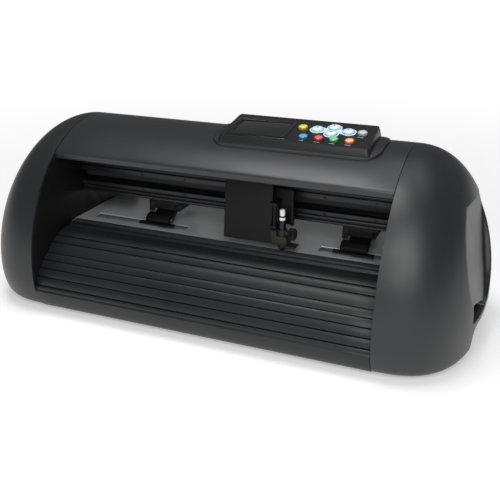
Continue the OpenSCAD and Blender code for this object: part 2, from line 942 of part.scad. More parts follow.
module pinch_arm(x) {
    tip = -19;
    color("#3a3c40")
        translate([x, 0, 0])
            difference() {
                union() {
                    for (side = [-11.5, 9.5])
                        along_x(side, side + 2)
                            polygon([[tip, 97], [tip, 102.5], [-8, 106], [pivot_y, 116.5],
                                [pivot_y + 25, 114.5], [pivot_y + 25, 110.5], [pivot_y, 107.5],
                                [-4, 97.5], [-10, 97]]);
                    block([-11.5, pivot_y + 20, 110.5], [11.5, pivot_y + 25, 114.5]);
                    block([-11.5, 0, 107.6], [11.5, 3, 111]);
                    block([-26, -26, 97], [21.5, tip + 1, 98.6]);
                    rod_x(-15.5, 15.5, pivot_y, pivot_z, pin_r);
                }
                rod_x(-20, 20, shaft_y, roller_z, 1.5 + run_gap);
            }
}

module pinch_roller(x) {
    color("#1f1f20")
        translate([x, 0, 0]) {
            rod_x(-7, 7, shaft_y, roller_z, pinch_r);
            rod_x(-12, 12, shaft_y, roller_z, 1.5);
        }
}

// Lever behind the beam, with a cam over the arm's tail
module pinch_lever(x) {
    color("#2a5d8f")
        translate([x, 0, 0]) {
            rod_x(-15.5, 15.5, lever_y, pivot_z, pin_r);
            rod_x(-7, 7, lever_y, pivot_z, 5.5);
            along_x(-7, 7)
                polygon([[lever_y, pivot_z + 4], [lever_y + 34, pivot_z - 3],
                    [lever_y + 36, pivot_z - 6], [lever_y + 34, pivot_z - 8], [lever_y, pivot_z - 4]]);
        }
}

module left_pinch_bracket() {
    pinch_bracket(left_pinch_x);
}

module left_pinch_arm() {
    pinch_arm(left_pinch_x);
}

module left_pinch_roller() {
    pinch_roller(left_pinch_x);
}

module left_pinch_lever() {
    pinch_lever(left_pinch_x);
}

module right_pinch_bracket() {
    pinch_bracket(right_pinch_x);
}

module right_pinch_arm() {
    pinch_arm(right_pinch_x);
}

module right_pinch_roller() {
    pinch_roller(right_pinch_x);
}

module right_pinch_lever() {
    pinch_lever(right_pinch_x);
}

module mainboard() {
    color("#1d5b34") {
        block([-60, -14, 18], [60, 60, 19.6]);
        for (x = [-54, 50]) for (y = [-8, 50])
            block([x, y, plate_z + plate_t], [x + 4, y + 4, 18]);
    }
    color("#2b2b2b") {
        block([-20, 10, 19.6], [4, 34, 24]);
        block([20, -10, 19.6], [52, 0, 30]);
        for (x = [-50, -38])
            rod_z(19.6, 34, x, 46, 5);
    }
}

module power_supply() {
    color("#9a9da1")
        block([half_bay + 6, -50, plate_z + plate_t], [half_bay + 56, 62, 46]);
}

base_plate();
rubber_feet();
left_side_frame();
right_side_frame();
cross_members();
main_beam();
platen();
cutting_strip();
front_apron();
rear_apron();
top_cover();
left_end_cap();
right_end_cap();
socket_tray();
power_inlet();
power_switch();
panel_base();
panel_housing();
display_window();
display_screen();
keypad_board();
key_yellow();
key_grey();
key_blue();
key_red();
key_green();
key_orange();
key_left();
key_right();
key_up();
key_down();
grit_shaft();
shaft_bearings();
feed_motor();
feed_motor_pulley();
feed_shaft_pulley();
feed_belt();
carriage_motor();
drive_pulley();
idler_pulley();
carriage_belt();
carriage_plate();
carriage_cover();
left_guide_roller();
right_guide_roller();
tool_slide();
clamp_knob();
blade_holder();
blade();
left_pinch_bracket();
left_pinch_arm();
left_pinch_roller();
left_pinch_lever();
right_pinch_bracket();
right_pinch_arm();
right_pinch_roller();
right_pinch_lever();
mainboard();
power_supply();
case_screws();
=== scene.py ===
import json
import math

import bmesh
import bpy
import numpy as np
from mathutils import Matrix, Vector
from mathutils.geometry import delaunay_2d_cdt


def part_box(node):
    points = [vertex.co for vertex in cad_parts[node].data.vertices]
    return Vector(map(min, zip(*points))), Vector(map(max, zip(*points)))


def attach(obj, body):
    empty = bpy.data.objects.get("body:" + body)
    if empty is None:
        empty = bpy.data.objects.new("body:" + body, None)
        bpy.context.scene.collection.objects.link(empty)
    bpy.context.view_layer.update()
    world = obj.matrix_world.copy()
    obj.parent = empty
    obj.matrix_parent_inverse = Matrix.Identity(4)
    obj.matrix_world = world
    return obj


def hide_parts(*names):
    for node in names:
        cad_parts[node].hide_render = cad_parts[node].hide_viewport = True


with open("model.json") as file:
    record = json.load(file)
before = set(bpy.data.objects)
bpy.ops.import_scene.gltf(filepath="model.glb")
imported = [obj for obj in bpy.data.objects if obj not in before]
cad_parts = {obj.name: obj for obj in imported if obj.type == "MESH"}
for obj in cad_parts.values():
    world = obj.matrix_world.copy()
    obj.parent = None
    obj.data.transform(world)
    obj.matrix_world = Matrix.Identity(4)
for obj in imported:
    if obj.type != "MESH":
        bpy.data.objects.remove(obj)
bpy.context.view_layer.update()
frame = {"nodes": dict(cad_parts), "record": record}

# ---------------------------------------------------------------- sizes, in millimetres
MM = 0.001
TINY = 1e-9
HALF_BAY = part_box("main_beam")[1].x / MM
CAP_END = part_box("right_end_cap")[1].x / MM
CAP_LEN = CAP_END - HALF_BAY
CROWN_Y, WAIST_Z = 25.0, 47.0
FRONT_REACH = CROWN_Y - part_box("right_end_cap")[0].y / MM
REAR_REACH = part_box("right_end_cap")[1].y / MM - CROWN_Y
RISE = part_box("right_end_cap")[1].z / MM - WAIST_Z
FLOOR_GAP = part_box("right_end_cap")[0].z / MM
CORNER_R, CORNER_H = 24.0, WAIST_Z - FLOOR_GAP
REAR_POWER, DEPTH_POWER, UP_POWER, DOWN_POWER = 2.4, 2.6, 2.2, 4.0
LIP_ANGLE = 124.3
TILT = math.radians(12.25)


def linear(srgb):
    """A colour given as 0-255 display values, in the linear values that shaders take."""
    out = []
    for v in srgb:
        v = v / 255.0
        out.append(v / 12.92 if v <= 0.04045 else ((v + 0.055) / 1.055) ** 2.4)
    return (*out, 1.0)


# ---------------------------------------------------------------- materials
def new_material(name):
    m = bpy.data.materials.new(name)
    m.use_nodes = True
    return m, m.node_tree.nodes, m.node_tree.links, m.node_tree.nodes["Principled BSDF"]


def object_coords(nodes, links, scale=(1, 1, 1)):
    coords = nodes.new("ShaderNodeTexCoord")
    mapping = nodes.new("ShaderNodeMapping")
    mapping.inputs["Scale"].default_value = scale
    links.new(coords.outputs["Object"], mapping.inputs["Vector"])
    return mapping.outputs["Vector"]


def noise(nodes, links, vector, scale, detail=2.0, rough=0.5):
    n = nodes.new("ShaderNodeTexNoise")
    n.inputs["Scale"].default_value = scale
    n.inputs["Detail"].default_value = detail
    n.inputs["Roughness"].default_value = rough
    links.new(vector, n.inputs["Vector"])
    return n.outputs["Fac"]


def ramp(nodes, links, fac, stops):
    r = nodes.new("ShaderNodeValToRGB")
    r.color_ramp.elements[0].position = stops[0][0]
    r.color_ramp.elements[0].color = stops[0][1]
    r.color_ramp.elements[1].position = stops[-1][0]
    r.color_ramp.elements[1].color = stops[-1][1]
    for pos, colour in stops[1:-1]:
        e = r.color_ramp.elements.new(pos)
        e.color = colour
    links.new(fac, r.inputs["Fac"])
    return r.outputs["Color"]


def bump(nodes, links, bsdf, height, strength, distance):
    b = nodes.new("ShaderNodeBump")
    b.inputs["Strength"].default_value = strength
    b.inputs["Distance"].default_value = distance
    links.new(height, b.inputs["Height"])
    if bsdf.inputs["Normal"].links:
        links.new(bsdf.inputs["Normal"].links[0].from_socket, b.inputs["Normal"])
    links.new(b.outputs["Normal"], bsdf.inputs["Normal"])


def vary(nodes, links, socket, fac, low, high):
    r = nodes.new("ShaderNodeMapRange")
    r.inputs["To Min"].default_value = low
    r.inputs["To Max"].default_value = high
    links.new(fac, r.inputs["Value"])
    links.new(r.outputs["Result"], socket)


def shade(colour, k):
    return tuple(min(1.0, c * k) for c in colour[:3]) + (1.0,)


def moulded(name, srgb, rough, grain=1100.0, depth=0.05, spread=0.16, specular=0.5, coat=0.0):
    """Injection-moulded plastic: spark-eroded grain, cloudy tone and slightly uneven gloss."""
    m, nodes, links, bsdf = new_material(name)
    base = linear(srgb)
    vec = object_coords(nodes, links)
    cloud = noise(nodes, links, vec, 14.0, 3.0)
    fine = noise(nodes, links, vec, grain, 2.0, 0.6)
    links.new(ramp(nodes, links, cloud, [(0.3, shade(base, 1 - spread)), (0.7, shade(base, 1 + spread))]),
              bsdf.inputs["Base Color"])
    vary(nodes, links, bsdf.inputs["Roughness"], noise(nodes, links, vec, 60.0, 4.0), rough - 0.05,
         rough + 0.05)
    bump(nodes, links, bsdf, fine, depth, 0.0004)
    bsdf.inputs["Specular IOR Level"].default_value = specular
    bsdf.inputs["Coat Weight"].default_value = coat
    bsdf.inputs["Coat Roughness"].default_value = 0.12
    return m


def metal(name, srgb, rough, brush=(1, 1, 1), scale=300.0, depth=0.05, spread=0.1, aniso=0.0, metallic=1.0,
          specular=0.5):
    """Metal with fine directional marks. brush stretches them along an axis."""
    m, nodes, links, bsdf = new_material(name)
    base = linear(srgb)
    streaks = noise(nodes, links, object_coords(nodes, links, brush), scale, 4.0, 0.6)
    cloud = noise(nodes, links, object_coords(nodes, links), 25.0, 3.0)
    links.new(ramp(nodes, links, cloud, [(0.3, shade(base, 1 - spread)), (0.7, shade(base, 1 + spread))]),
              bsdf.inputs["Base Color"])
    vary(nodes, links, bsdf.inputs["Roughness"], streaks, max(0.02, rough - 0.07), rough + 0.07)
    bump(nodes, links, bsdf, streaks, depth, 0.0002)
    bsdf.inputs["Metallic"].default_value = metallic
    bsdf.inputs["Specular IOR Level"].default_value = specular
    bsdf.inputs["Anisotropic"].default_value = aniso
    return m


MATS = {
    "casing": moulded("casing_plastic", (31, 32, 34), 0.40, grain=1300.0, depth=0.06),
    "cover": moulded("cover_plastic", (38, 39, 42), 0.36, grain=1700.0, depth=0.03, spread=0.08),
    "apron": moulded("apron_plastic", (24, 25, 27), 0.42, grain=1300.0, depth=0.06, specular=0.38),
    "black_plastic": moulded("black_plastic", (14, 14, 15), 0.5, grain=1500.0, depth=0.05, specular=0.2),
    "gloss_black": moulded("gloss_black", (14, 14, 15), 0.10, grain=300.0, depth=0.004, coat=0.6),
    "frame_steel": metal("frame_steel", (12, 12, 13), 0.5, scale=900.0, depth=0.05, metallic=0.0,
                         specular=0.22),
    "zinc_steel": metal("zinc_steel", (170, 172, 176), 0.32, scale=90.0, depth=0.02, spread=0.2),
    "beam_metal": metal("beam_metal", (46, 47, 50), 0.36, brush=(0.02, 1, 1), scale=900.0, aniso=0.3,
                        depth=0.02, metallic=0.7),
    "bed_metal": metal("bed_metal", (214, 215, 217), 0.32, brush=(0.03, 1, 1), scale=700.0, depth=0.008,
                       spread=0.04, metallic=0.55),
    "strip": moulded("strip_plastic", (54, 55, 57), 0.5, grain=700.0, depth=0.05, spread=0.04),
    "shaft_steel": metal("shaft_steel", (185, 185, 187), 0.3, brush=(1, 0.05, 0.05), scale=900.0),
    "bronze": metal("bronze", (176, 132, 72), 0.4, scale=500.0, spread=0.15),
    "motor_case": metal("motor_case", (52, 52, 55), 0.4, scale=500.0, metallic=0.5),
    "pulley_metal": metal("pulley_metal", (190, 191, 194), 0.28, scale=600.0),
    "belt_rubber": moulded("belt_rubber", (24, 24, 24), 0.7, grain=900.0, depth=0.2),
    "tyre_rubber": moulded("tyre_rubber", (30, 30, 31), 0.62, grain=1400.0, depth=0.12),
    "feet_rubber": moulded("feet_rubber", (28, 28, 29), 0.75, grain=900.0, depth=0.2),
    "roller_nylon": moulded("roller_nylon", (214, 209, 194), 0.4, grain=600.0, depth=0.03, spread=0.05),
    "tool_metal": metal("tool_metal", (40, 40, 38), 0.45, scale=900.0, metallic=0.4, specular=0.3),
    "holder_metal": metal("holder_metal", (36, 37, 40), 0.34, scale=900.0, metallic=0.6),
    "blade_steel": metal("blade_steel", (208, 210, 213), 0.12, brush=(1, 1, 0.05), scale=900.0, depth=0.02),
    "lever_plastic": moulded("lever_plastic", (32, 62, 98), 0.38, grain=1100.0, depth=0.05),
    "board": moulded("board_laminate", (24, 82, 48), 0.35, grain=300.0, depth=0.1, spread=0.2),
    "psu_metal": metal("psu_metal", (160, 162, 166), 0.38, scale=90.0, depth=0.02, spread=0.15),
    "screw_steel": metal("screw_steel", (170, 172, 175), 0.22, scale=900.0),
    "screen": moulded("screen_glass", (34, 37, 32), 0.10, grain=200.0, depth=0.003, coat=0.3),
    "white_plastic": moulded("white_plastic", (228, 228, 226), 0.32, grain=900.0, depth=0.03, spread=0.03),
    "dark_seam": moulded("dark_seam", (10, 10, 11), 0.6, grain=900.0, depth=0.05),
    "print_grey": moulded("print_grey", (150, 152, 156), 0.5, grain=900.0, depth=0.03, spread=0.04),
    "print_dark": moulded("print_dark", (36, 44, 52), 0.5, grain=900.0, depth=0.03, spread=0.04),
    "rail_steel": metal("rail_steel", (58, 59, 62), 0.38, brush=(0.02, 1, 1), scale=900.0, metallic=0.8),
}
KEY_COLOURS = {
    "key_yellow": ((176, 146, 14), (236, 222, 96)), "key_grey": ((150, 151, 156), (205, 205, 208)),
    "key_blue": ((22, 92, 138), (92, 174, 214)), "key_red": ((140, 22, 36), (222, 104, 112)),
    "key_green": ((40, 116, 56), (138, 212, 148)), "key_orange": ((176, 84, 48), (240, 190, 156)),
    "key_arrow": (((176, 210, 228)), (222, 240, 248)),
}
for key_name, (ring_rgb, centre_rgb) in KEY_COLOURS.items():
    MATS[key_name] = moulded(key_name + "_ring", ring_rgb, 0.25, grain=800.0, depth=0.02, spread=0.04,
                             coat=0.3)
    MATS[key_name + "_light"] = moulded(key_name + "_centre", centre_rgb, 0.25, grain=800.0, depth=0.02,
                                        spread=0.04, coat=0.3)
MATS["panel"] = moulded("panel_plastic", (26, 27, 29), 0.42, grain=1500.0, depth=0.05, spread=0.1,
                        specular=0.35)
MATS["dark_screw"] = metal("dark_screw", (30, 31, 33), 0.45, scale=900.0, metallic=0.6)
MATS["grit"] = metal("grit_coating", (120, 120, 122), 0.55, scale=1800.0, depth=0.7, spread=0.25,
                     metallic=0.6)

SLOT_OF = {s["node"]: s["material_slot"] for s in frame["record"]["subparts"]}
BODY_OF = {n: b for b, members in frame["record"]["behaviour"]["bodies"].items() for n in members}


# ---------------------------------------------------------------- making pieces
def finish_piece(name, bm, node_or_body, materials, replaces=(), slot=None, angle=32.0, smooth=True):
    """Writes a bmesh in metres to a new object that rides on a body."""
    mesh = bpy.data.meshes.new(name)
    bm.normal_update()
    bm.to_mesh(mesh)
    bm.free()
    obj = bpy.data.objects.new(name, mesh)
    bpy.context.scene.collection.objects.link(obj)
    for m in materials if isinstance(materials, (list, tuple)) else [materials]:
        mesh.materials.append(MATS[m])
    if smooth:
        mesh.shade_smooth()
        mesh.set_sharp_from_angle(angle=math.radians(angle))
    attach(obj, BODY_OF.get(node_or_body, node_or_body))
    if replaces:
        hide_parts(*replaces)
    return obj


def outward_piece(name, bm, node_or_body, material, **options):
    """A finished piece, its faces first turned outwards."""
    bmesh.ops.recalc_face_normals(bm, faces=bm.faces)
    return finish_piece(name, bm, node_or_body, material, **options)


def refined(node, width=0.4, segments=2, angle=30.0, material=None, name=None):
    """A CAD node's own shape with its sharp edges rounded by width millimetres."""
    bm = bmesh.new()
    bm.from_mesh(frame["nodes"][node].data)
    for layer in list(bm.loops.layers.uv):
        bm.loops.layers.uv.remove(layer)
    bmesh.ops.remove_doubles(bm, verts=bm.verts, dist=2e-6)
    bmesh.ops.dissolve_degenerate(bm, dist=1e-6, edges=bm.edges)
    bmesh.ops.dissolve_limit(bm, angle_limit=math.radians(0.7), verts=bm.verts, edges=bm.edges,
                             use_dissolve_boundaries=False)
    if width > 0:
        sharp = [e for e in bm.edges if len(e.link_faces) == 2
                 and e.calc_face_angle(0.0) > math.radians(angle)]
        bmesh.ops.bevel(bm, geom=sharp, offset=width * MM, offset_type="OFFSET", segments=segments,
                        profile=0.5, affect="EDGES", clamp_overlap=True, miter_outer="SHARP")
    for f in bm.faces:
        f.material_index = 0
    return finish_piece(name or node + "_shape", bm, node, material or SLOT_OF[node], replaces=(node,),
                        angle=40)


def add_ring_strip(bm, rings, closed=True, flip=False):
    """Quads between rings of equal length. Returns the vertex rings."""
    made = [[bm.verts.new((p[0] * MM, p[1] * MM, p[2] * MM)) for p in ring] for ring in rings]
    n = len(rings[0])
    for a, b in zip(made[:-1], made[1:]):
        for i in range(n if closed else n - 1):
            j = (i + 1) % n
            quad = (a[i], a[j], b[j], b[i])
            bm.faces.new(quad[::-1] if flip else quad)
    return made


def lathe(bm, profile, origin, axis, segments=48, material=0, close_ends=True):
    """A turned shape: profile is (radius, distance along axis) in mm, from one end to the other."""
    axis = Vector(axis).normalized()
    turn = Vector((0, 0, 1)).rotation_difference(axis).to_matrix()
    rings = []
    for r, h in profile:
        ring = []
        for i in range(segments):
            a = 2 * math.pi * i / segments
            ring.append(bm.verts.new((Vector(origin) + turn @ Vector((r * math.cos(a), r * math.sin(a),
                                                                      h))) * MM))
        rings.append(ring)
    for a, b in zip(rings[:-1], rings[1:]):
        for i in range(segments):
            j = (i + 1) % segments
            bm.faces.new((a[i], a[j], b[j], b[i])).material_index = material
    if close_ends:
        bm.faces.new(rings[0][::-1]).material_index = material
        bm.faces.new(rings[-1]).material_index = material
    return rings


def soft_profile(points, r=0.4, steps=3):
    """A profile's corners rounded by up to r, ends kept."""
    pts = [Vector(p) for p in points]
    out = [pts[0]]
    for a, b, c in zip(pts[:-2], pts[1:-1], pts[2:]):
        u, v = a - b, c - b
        k = min(r, u.length * 0.45, v.length * 0.45)
        p, q = b + u.normalized() * k, b + v.normalized() * k
        for i in range(steps + 1):
            t = i / steps
            out.append(p * (1 - t) ** 2 + b * 2 * t * (1 - t) + q * t ** 2)
    out.append(pts[-1])
    return [tuple(p) for p in out]


def rounded_polygon(points, r, steps=5):
    """A closed polygon with its corners rounded by up to r."""
    pts = [Vector(p) for p in points]
    n = len(pts)
    out = []
    for i in range(n):
        a, b, c = pts[i - 1], pts[i], pts[(i + 1) % n]
        u, v = a - b, c - b
        k = min(r, u.length * 0.45, v.length * 0.45)
        p, q = b + u.normalized() * k, b + v.normalized() * k
        for s in range(steps + 1):
            t = s / steps
            out.append(p * (1 - t) ** 2 + b * 2 * t * (1 - t) + q * t ** 2)
    return np.array([tuple(p) for p in out])


def inset_loop(loop, amount):
    """A closed counterclockwise loop moved inwards by amount, along its corner normals."""
    p = np.asarray(loop, float)
    before, after = np.roll(p, 1, 0), np.roll(p, -1, 0)
    t1, t2 = p - before, after - p
    t1 /= np.maximum(np.linalg.norm(t1, axis=1), TINY)[:, None]
    t2 /= np.maximum(np.linalg.norm(t2, axis=1), TINY)[:, None]
    n1, n2 = np.c_[-t1[:, 1], t1[:, 0]], np.c_[-t2[:, 1], t2[:, 0]]
    n = n1 + n2
    n /= np.maximum(np.linalg.norm(n, axis=1), TINY)[:, None]
    k = 1 / np.clip((n * n1).sum(1), 0.5, 1)
    return p + n * k[:, None] * amount


def signed_area(loop):
    p, q = np.asarray(loop, float), np.roll(np.asarray(loop, float), -1, 0)
    return 0.5 * float(np.sum(p[:, 0] * q[:, 1] - q[:, 0] * p[:, 1]))


def extrusion(bm, loop, x0, x1, edge=0.5, steps=2, middle=1, material=0):
    """A closed YZ profile run along X, with its two end edges rounded."""
    loop = np.asarray(loop, float)
    if signed_area(loop) < 0:
        loop = loop[::-1]
    stations = [(x0 + edge * (1 - math.cos(math.pi / 2 * s / steps)),
                 edge * (1 - math.sin(math.pi / 2 * s / steps)))
                for s in range(steps + 1)]
    stations += [(x0 + edge + (x1 - x0 - 2 * edge) * k / middle, 0.0) for k in range(1, middle)]
    stations += [(x1 - (x - x0), i) for x, i in stations[:steps + 1][::-1]]
    rings = []
    for x, i in stations:
        ring = inset_loop(loop, i) if i > 1e-6 else loop
        rings.append([(x, y, z) for y, z in ring])
    made = add_ring_strip(bm, rings)
    caps = [bm.faces.new(made[0][::-1]), bm.faces.new(made[-1])]
    for f in caps:
        f.material_index = material
    return made


def screw(name, at, axis, body, r=2.6, head=1.6, material="screw_steel"):
    """A pan-head screw with a cross recess, standing on its seat."""
    bm = bmesh.new()
    turn = Vector((0, 0, 1)).rotation_difference(Vector(axis)).to_matrix()
    seg = 24
    arms = 0.62 * r
    slot_w = 0.17 * r
    rings = []
    sides = [(r * 0.98, 0), (r, head * 0.45), (r * 0.72, head), (0.66 * r, head)]
    for radius, h in soft_profile(sides, 0.3):
        rings.append((radius, h))
    made = []
    for radius, h in rings:
        made.append([bm.verts.new((Vector(at) + turn @ Vector((radius * math.cos(2 * math.pi * i / seg),
                     radius * math.sin(2 * math.pi * i / seg), h))) * MM) for i in range(seg)])
    for a, b in zip(made[:-1], made[1:]):
        for i in range(seg):
            j = (i + 1) % seg
            bm.faces.new((a[i], a[j], b[j], b[i]))
    cross = []
    for q in range(4):
        a = math.pi / 2 * q
        c, s = math.cos(a), math.sin(a)
        for u, v in ((arms, -slot_w), (arms, slot_w), (slot_w, slot_w)):
            cross.append((u * c - v * s, u * s + v * c))
    top = [bm.verts.new((Vector(at) + turn @ Vector((u, v, head))) * MM) for u, v in cross]
    low = [bm.verts.new((Vector(at) + turn @ Vector((u * 0.8, v * 0.8, head * 0.35))) * MM)
           for u, v in cross]
    per = seg // 12
    for k in range(12):
        outer = [made[-1][(k * per + i - 1) % seg] for i in range(per + 1)]
        bm.faces.new([*outer, top[(k + 1) % 12], top[k]])
    for k in range(12):
        j = (k + 1) % 12
        bm.faces.new((top[k], top[j], low[j], low[k]))
    bm.faces.new(low)
    return outward_piece(name, bm, body, material, slot="screw_steel", angle=35)


# ---------------------------------------------------------------- casing curves
def quarter(centre, radii, power, a0, a1, n):
    a = np.radians(np.linspace(a0, a1, n + 1))
    c, s = np.cos(a), np.sin(a)
    return np.c_[centre[0] + radii[0] * np.sign(c) * np.abs(c) ** (2 / power),
                 centre[1] + radii[1] * np.sign(s) * np.abs(s) ** (2 / power)]


def rear_arch(inset, a0, a1, n=44):
    return quarter((CROWN_Y, WAIST_Z), (REAR_REACH - inset, RISE - inset), REAR_POWER, a0, a1, n)


def front_arch(inset, a0, a1, n=48):
    return quarter((CROWN_Y, WAIST_Z), (FRONT_REACH - inset, RISE - inset), 2.0, a0, a1, n)


def rear_angle(z):
    return math.degrees(math.asin(((z - WAIST_Z) / RISE) ** (REAR_POWER / 2)))


def resampled(loop, step):
    """A closed loop with points about every step mm."""
    p = np.vstack([loop, loop[:1]])
    keep = np.r_[True, np.linalg.norm(np.diff(p, axis=0), axis=1) > 1e-6]
    p = p[keep]
    s = np.r_[0, np.cumsum(np.linalg.norm(np.diff(p, axis=0), axis=1))]
    n = max(8, int(round(s[-1] / step)))
    t = np.linspace(0, s[-1], n, endpoint=False)
    return np.c_[np.interp(t, s, p[:, 0]), np.interp(t, s, p[:, 1])]


def outline(inset=0.0):
    """The casing's whole outline, counterclockwise from the rear waist."""
    fc = (CROWN_Y - FRONT_REACH + CORNER_R, WAIST_Z)
    rc = (CROWN_Y + REAR_REACH - CORNER_R, WAIST_Z)
    radii = (CORNER_R - inset, CORNER_H - inset)
    return np.vstack([rear_arch(inset, 0, 90), front_arch(inset, 90, 180)[1:],
                      quarter(fc, radii, 2, 180, 270, 18)[1:], quarter(rc, radii, 2, 270, 357, 18)])


def close_by(u, p):
    return np.clip(1 - np.asarray(u, float) ** p, 0, 1) ** (1 / p)


def scaled_out(y, z, u):
    """A point of the dome's section u, taken back to the full outline, about the crown line and waist."""
    up = np.where(z > WAIST_Z, close_by(u, UP_POWER), close_by(u, DOWN_POWER))
    return (y - CROWN_Y) / np.maximum(close_by(u, DEPTH_POWER), TINY), (z - WAIST_Z) / np.maximum(up, TINY)


def inside_outline(dy, dz):
    """True where a point, given from the crown line and waist, lies within the outline."""
    top = np.where(dy < 0, (np.abs(dy) / FRONT_REACH) ** 2 + (np.abs(dz) / RISE) ** 2,
                   (np.abs(dy) / REAR_REACH) ** REAR_POWER + (np.abs(dz) / RISE) ** REAR_POWER) <= 1
    reach = np.where(dy < 0, FRONT_REACH, REAR_REACH)
    over = np.maximum(np.abs(dy) - (reach - CORNER_R), 0) / CORNER_R
    low = (np.abs(dy) <= reach) & (over ** 2 + (np.abs(dz) / CORNER_H) ** 2 <= 1)
    return np.where(dz > 0, top, low)


def dome_u(y, z):
    """How far along the cap the dome's surface lies over each (y, z)."""
    y, z = np.asarray(y, float), np.asarray(z, float)
    low, high = np.zeros_like(y), np.ones_like(y)
    for _ in range(44):
        mid = (low + high) / 2
        ok = inside_outline(*scaled_out(y, z, mid))
        low, high = np.where(ok, mid, low), np.where(ok, high, mid)
    return (low + high) / 2


def polygon_distance(points, poly):
    """Signed distance in mm from points to a closed polygon, negative inside."""
    p, a = np.asarray(points, float), np.asarray(poly, float)
    b = np.roll(a, -1, 0)
    best = np.full(len(p), 1e9)
    wind = np.zeros(len(p), bool)
    for (ax, ay), (bx, by) in zip(a, b):
        ex, ey = bx - ax, by - ay
        wx, wy = p[:, 0] - ax, p[:, 1] - ay
        t = np.clip((wx * ex + wy * ey) / (ex * ex + ey * ey + 1e-12), 0, 1)
        best = np.minimum(best, np.hypot(wx - t * ex, wy - t * ey))
        height = ey if abs(ey) > 1e-12 else 1e-12
        wind ^= ((ay > p[:, 1]) != (by > p[:, 1])) & (wx < (p[:, 1] - ay) * ex / height)
    return np.where(wind, -best, best)


def carved(surface, d, floor, r, wall, foot, blend):
    """Height over a surface that drops to a floor inside an outline, with a rounded rim and foot,
    and a soft crease where the floor comes out through the surface."""
    depth = np.maximum(surface - floor, 0)
    r = np.minimum(r, depth * 0.45)
    foot = np.minimum(foot, depth * 0.45)
    x = surface.copy()
    rim = (d >= 0) & (d < r)
    x = np.where(rim, surface - (r - np.sqrt(np.clip(r ** 2 - (r - d) ** 2, 0, None))), x)
    t = np.clip(-d / wall, 0, 1)
    x = np.where((d < 0) & (d >= -wall), (surface - r) * (1 - t) + (floor + foot) * t, x)
    q = np.clip(foot - (-wall - d), 0, None)
    x = np.where(d < -wall, floor + foot - np.sqrt(np.clip(foot ** 2 - q ** 2, 0, None)), x)
    near = blend * np.clip(1 - np.maximum(d, 0) / 4, 0, 1) + 1e-6
    return np.minimum(x, surface) - np.clip(near - np.abs(surface - floor), 0, None) ** 2 / (4 * near)


RIM_OFFSETS = (2.2, 1.6, 1.1, 0.65, 0.3, 0.0, -0.9, -1.25, -1.7, -2.4, -3.3, -4.2)


def carved_mesh(bm, flat, place, loops, edges=(), drop=None):
    """Triangulates flat points and carved loops in a flat domain, and places them in space.
    loops and edges are index chains into flat that stay as edges; drop tells which triangles go."""
    chain = []
    for idx, closed in list(loops) + list(edges):
        chain += list(zip(idx[:-1], idx[1:]))
        if closed:
            chain.append((idx[-1], idx[0]))
    out = delaunay_2d_cdt([Vector(p) for p in flat], chain, [], 0, TINY)
    verts, faces = out[0], out[2]
    pts = np.array([tuple(v) for v in verts])
    xyz = place(pts)
    made = [bm.verts.new(tuple(q * MM for q in p)) for p in xyz]
    middles = np.array([pts[list(f)].mean(0) for f in faces])
    gone = drop(middles) if drop is not None else np.zeros(len(faces), bool)
    for f, skip in zip(faces, gone):
        if not skip:
            bm.faces.new([made[i] for i in f])
    loose = [v for v in made if not v.link_faces]
    bmesh.ops.delete(bm, geom=loose, context="VERTS")


# ---------------------------------------------------------------- the two end caps
DOME_EASE = 0.8
DOME_RINGS = 58
# the palm rest's floor stands this far out from the bay at z 0, and leans in by this per mm of height
PALM_BASE, PALM_LEAN = 105.5, 0.22
GRIP_DEPTH = 76.0


def palm_floor(z):
    return HALF_BAY + PALM_BASE - PALM_LEAN * z


def grip_floor(z):
    return np.full_like(z, HALF_BAY + GRIP_DEPTH)


def recess_outlines():
    """The palm rest and the finger hollow, as closed loops seen from the end, each with its floor."""
    corners = [(-72, 69), (-49, 68), (0, 52), (22, 50), (46, 68), (66, 104), (80, 142), (77, 155),
               (70, 162), (58, 165), (-10, 168), (-72, 168)]
    palm = resampled(rounded_polygon(corners, 9), 1.5)
    # where the floor comes out through the dome, the outline is drawn in to that crease
    middle = np.array([0.0, 110.0])
    low, high = np.zeros(len(palm)), np.ones(len(palm))
    for _ in range(40):
        t = (low + high) / 2
        p = middle + (palm - middle) * t[:, None]
        deep = HALF_BAY + CAP_LEN * dome_u(p[:, 0], p[:, 1]) > palm_floor(p[:, 1])
        low, high = np.where(deep, t, low), np.where(deep, high, t)
    palm = middle + (palm - middle) * low[:, None]
    a1, a2 = np.radians(np.linspace(0, 90, 8)), np.radians(np.linspace(90, 180, 8))
    grip = [(-45, -30), (75, -30)] + [(61 + 14 * math.cos(t), 28 + 14 * math.sin(t)) for t in a1] \
        + [(-31 + 14 * math.cos(t), 28 + 14 * math.sin(t)) for t in a2]
    pocket = [(-50, 49.5), (2, 49.5), (2, 54), (-45, 69), (-50, 69)]
    return (resampled(palm, 2.0), palm_floor), (resampled(rounded_polygon(grip, 4), 2.2), grip_floor), \
        (resampled(rounded_polygon(pocket, 2), 1.6), grip_floor)


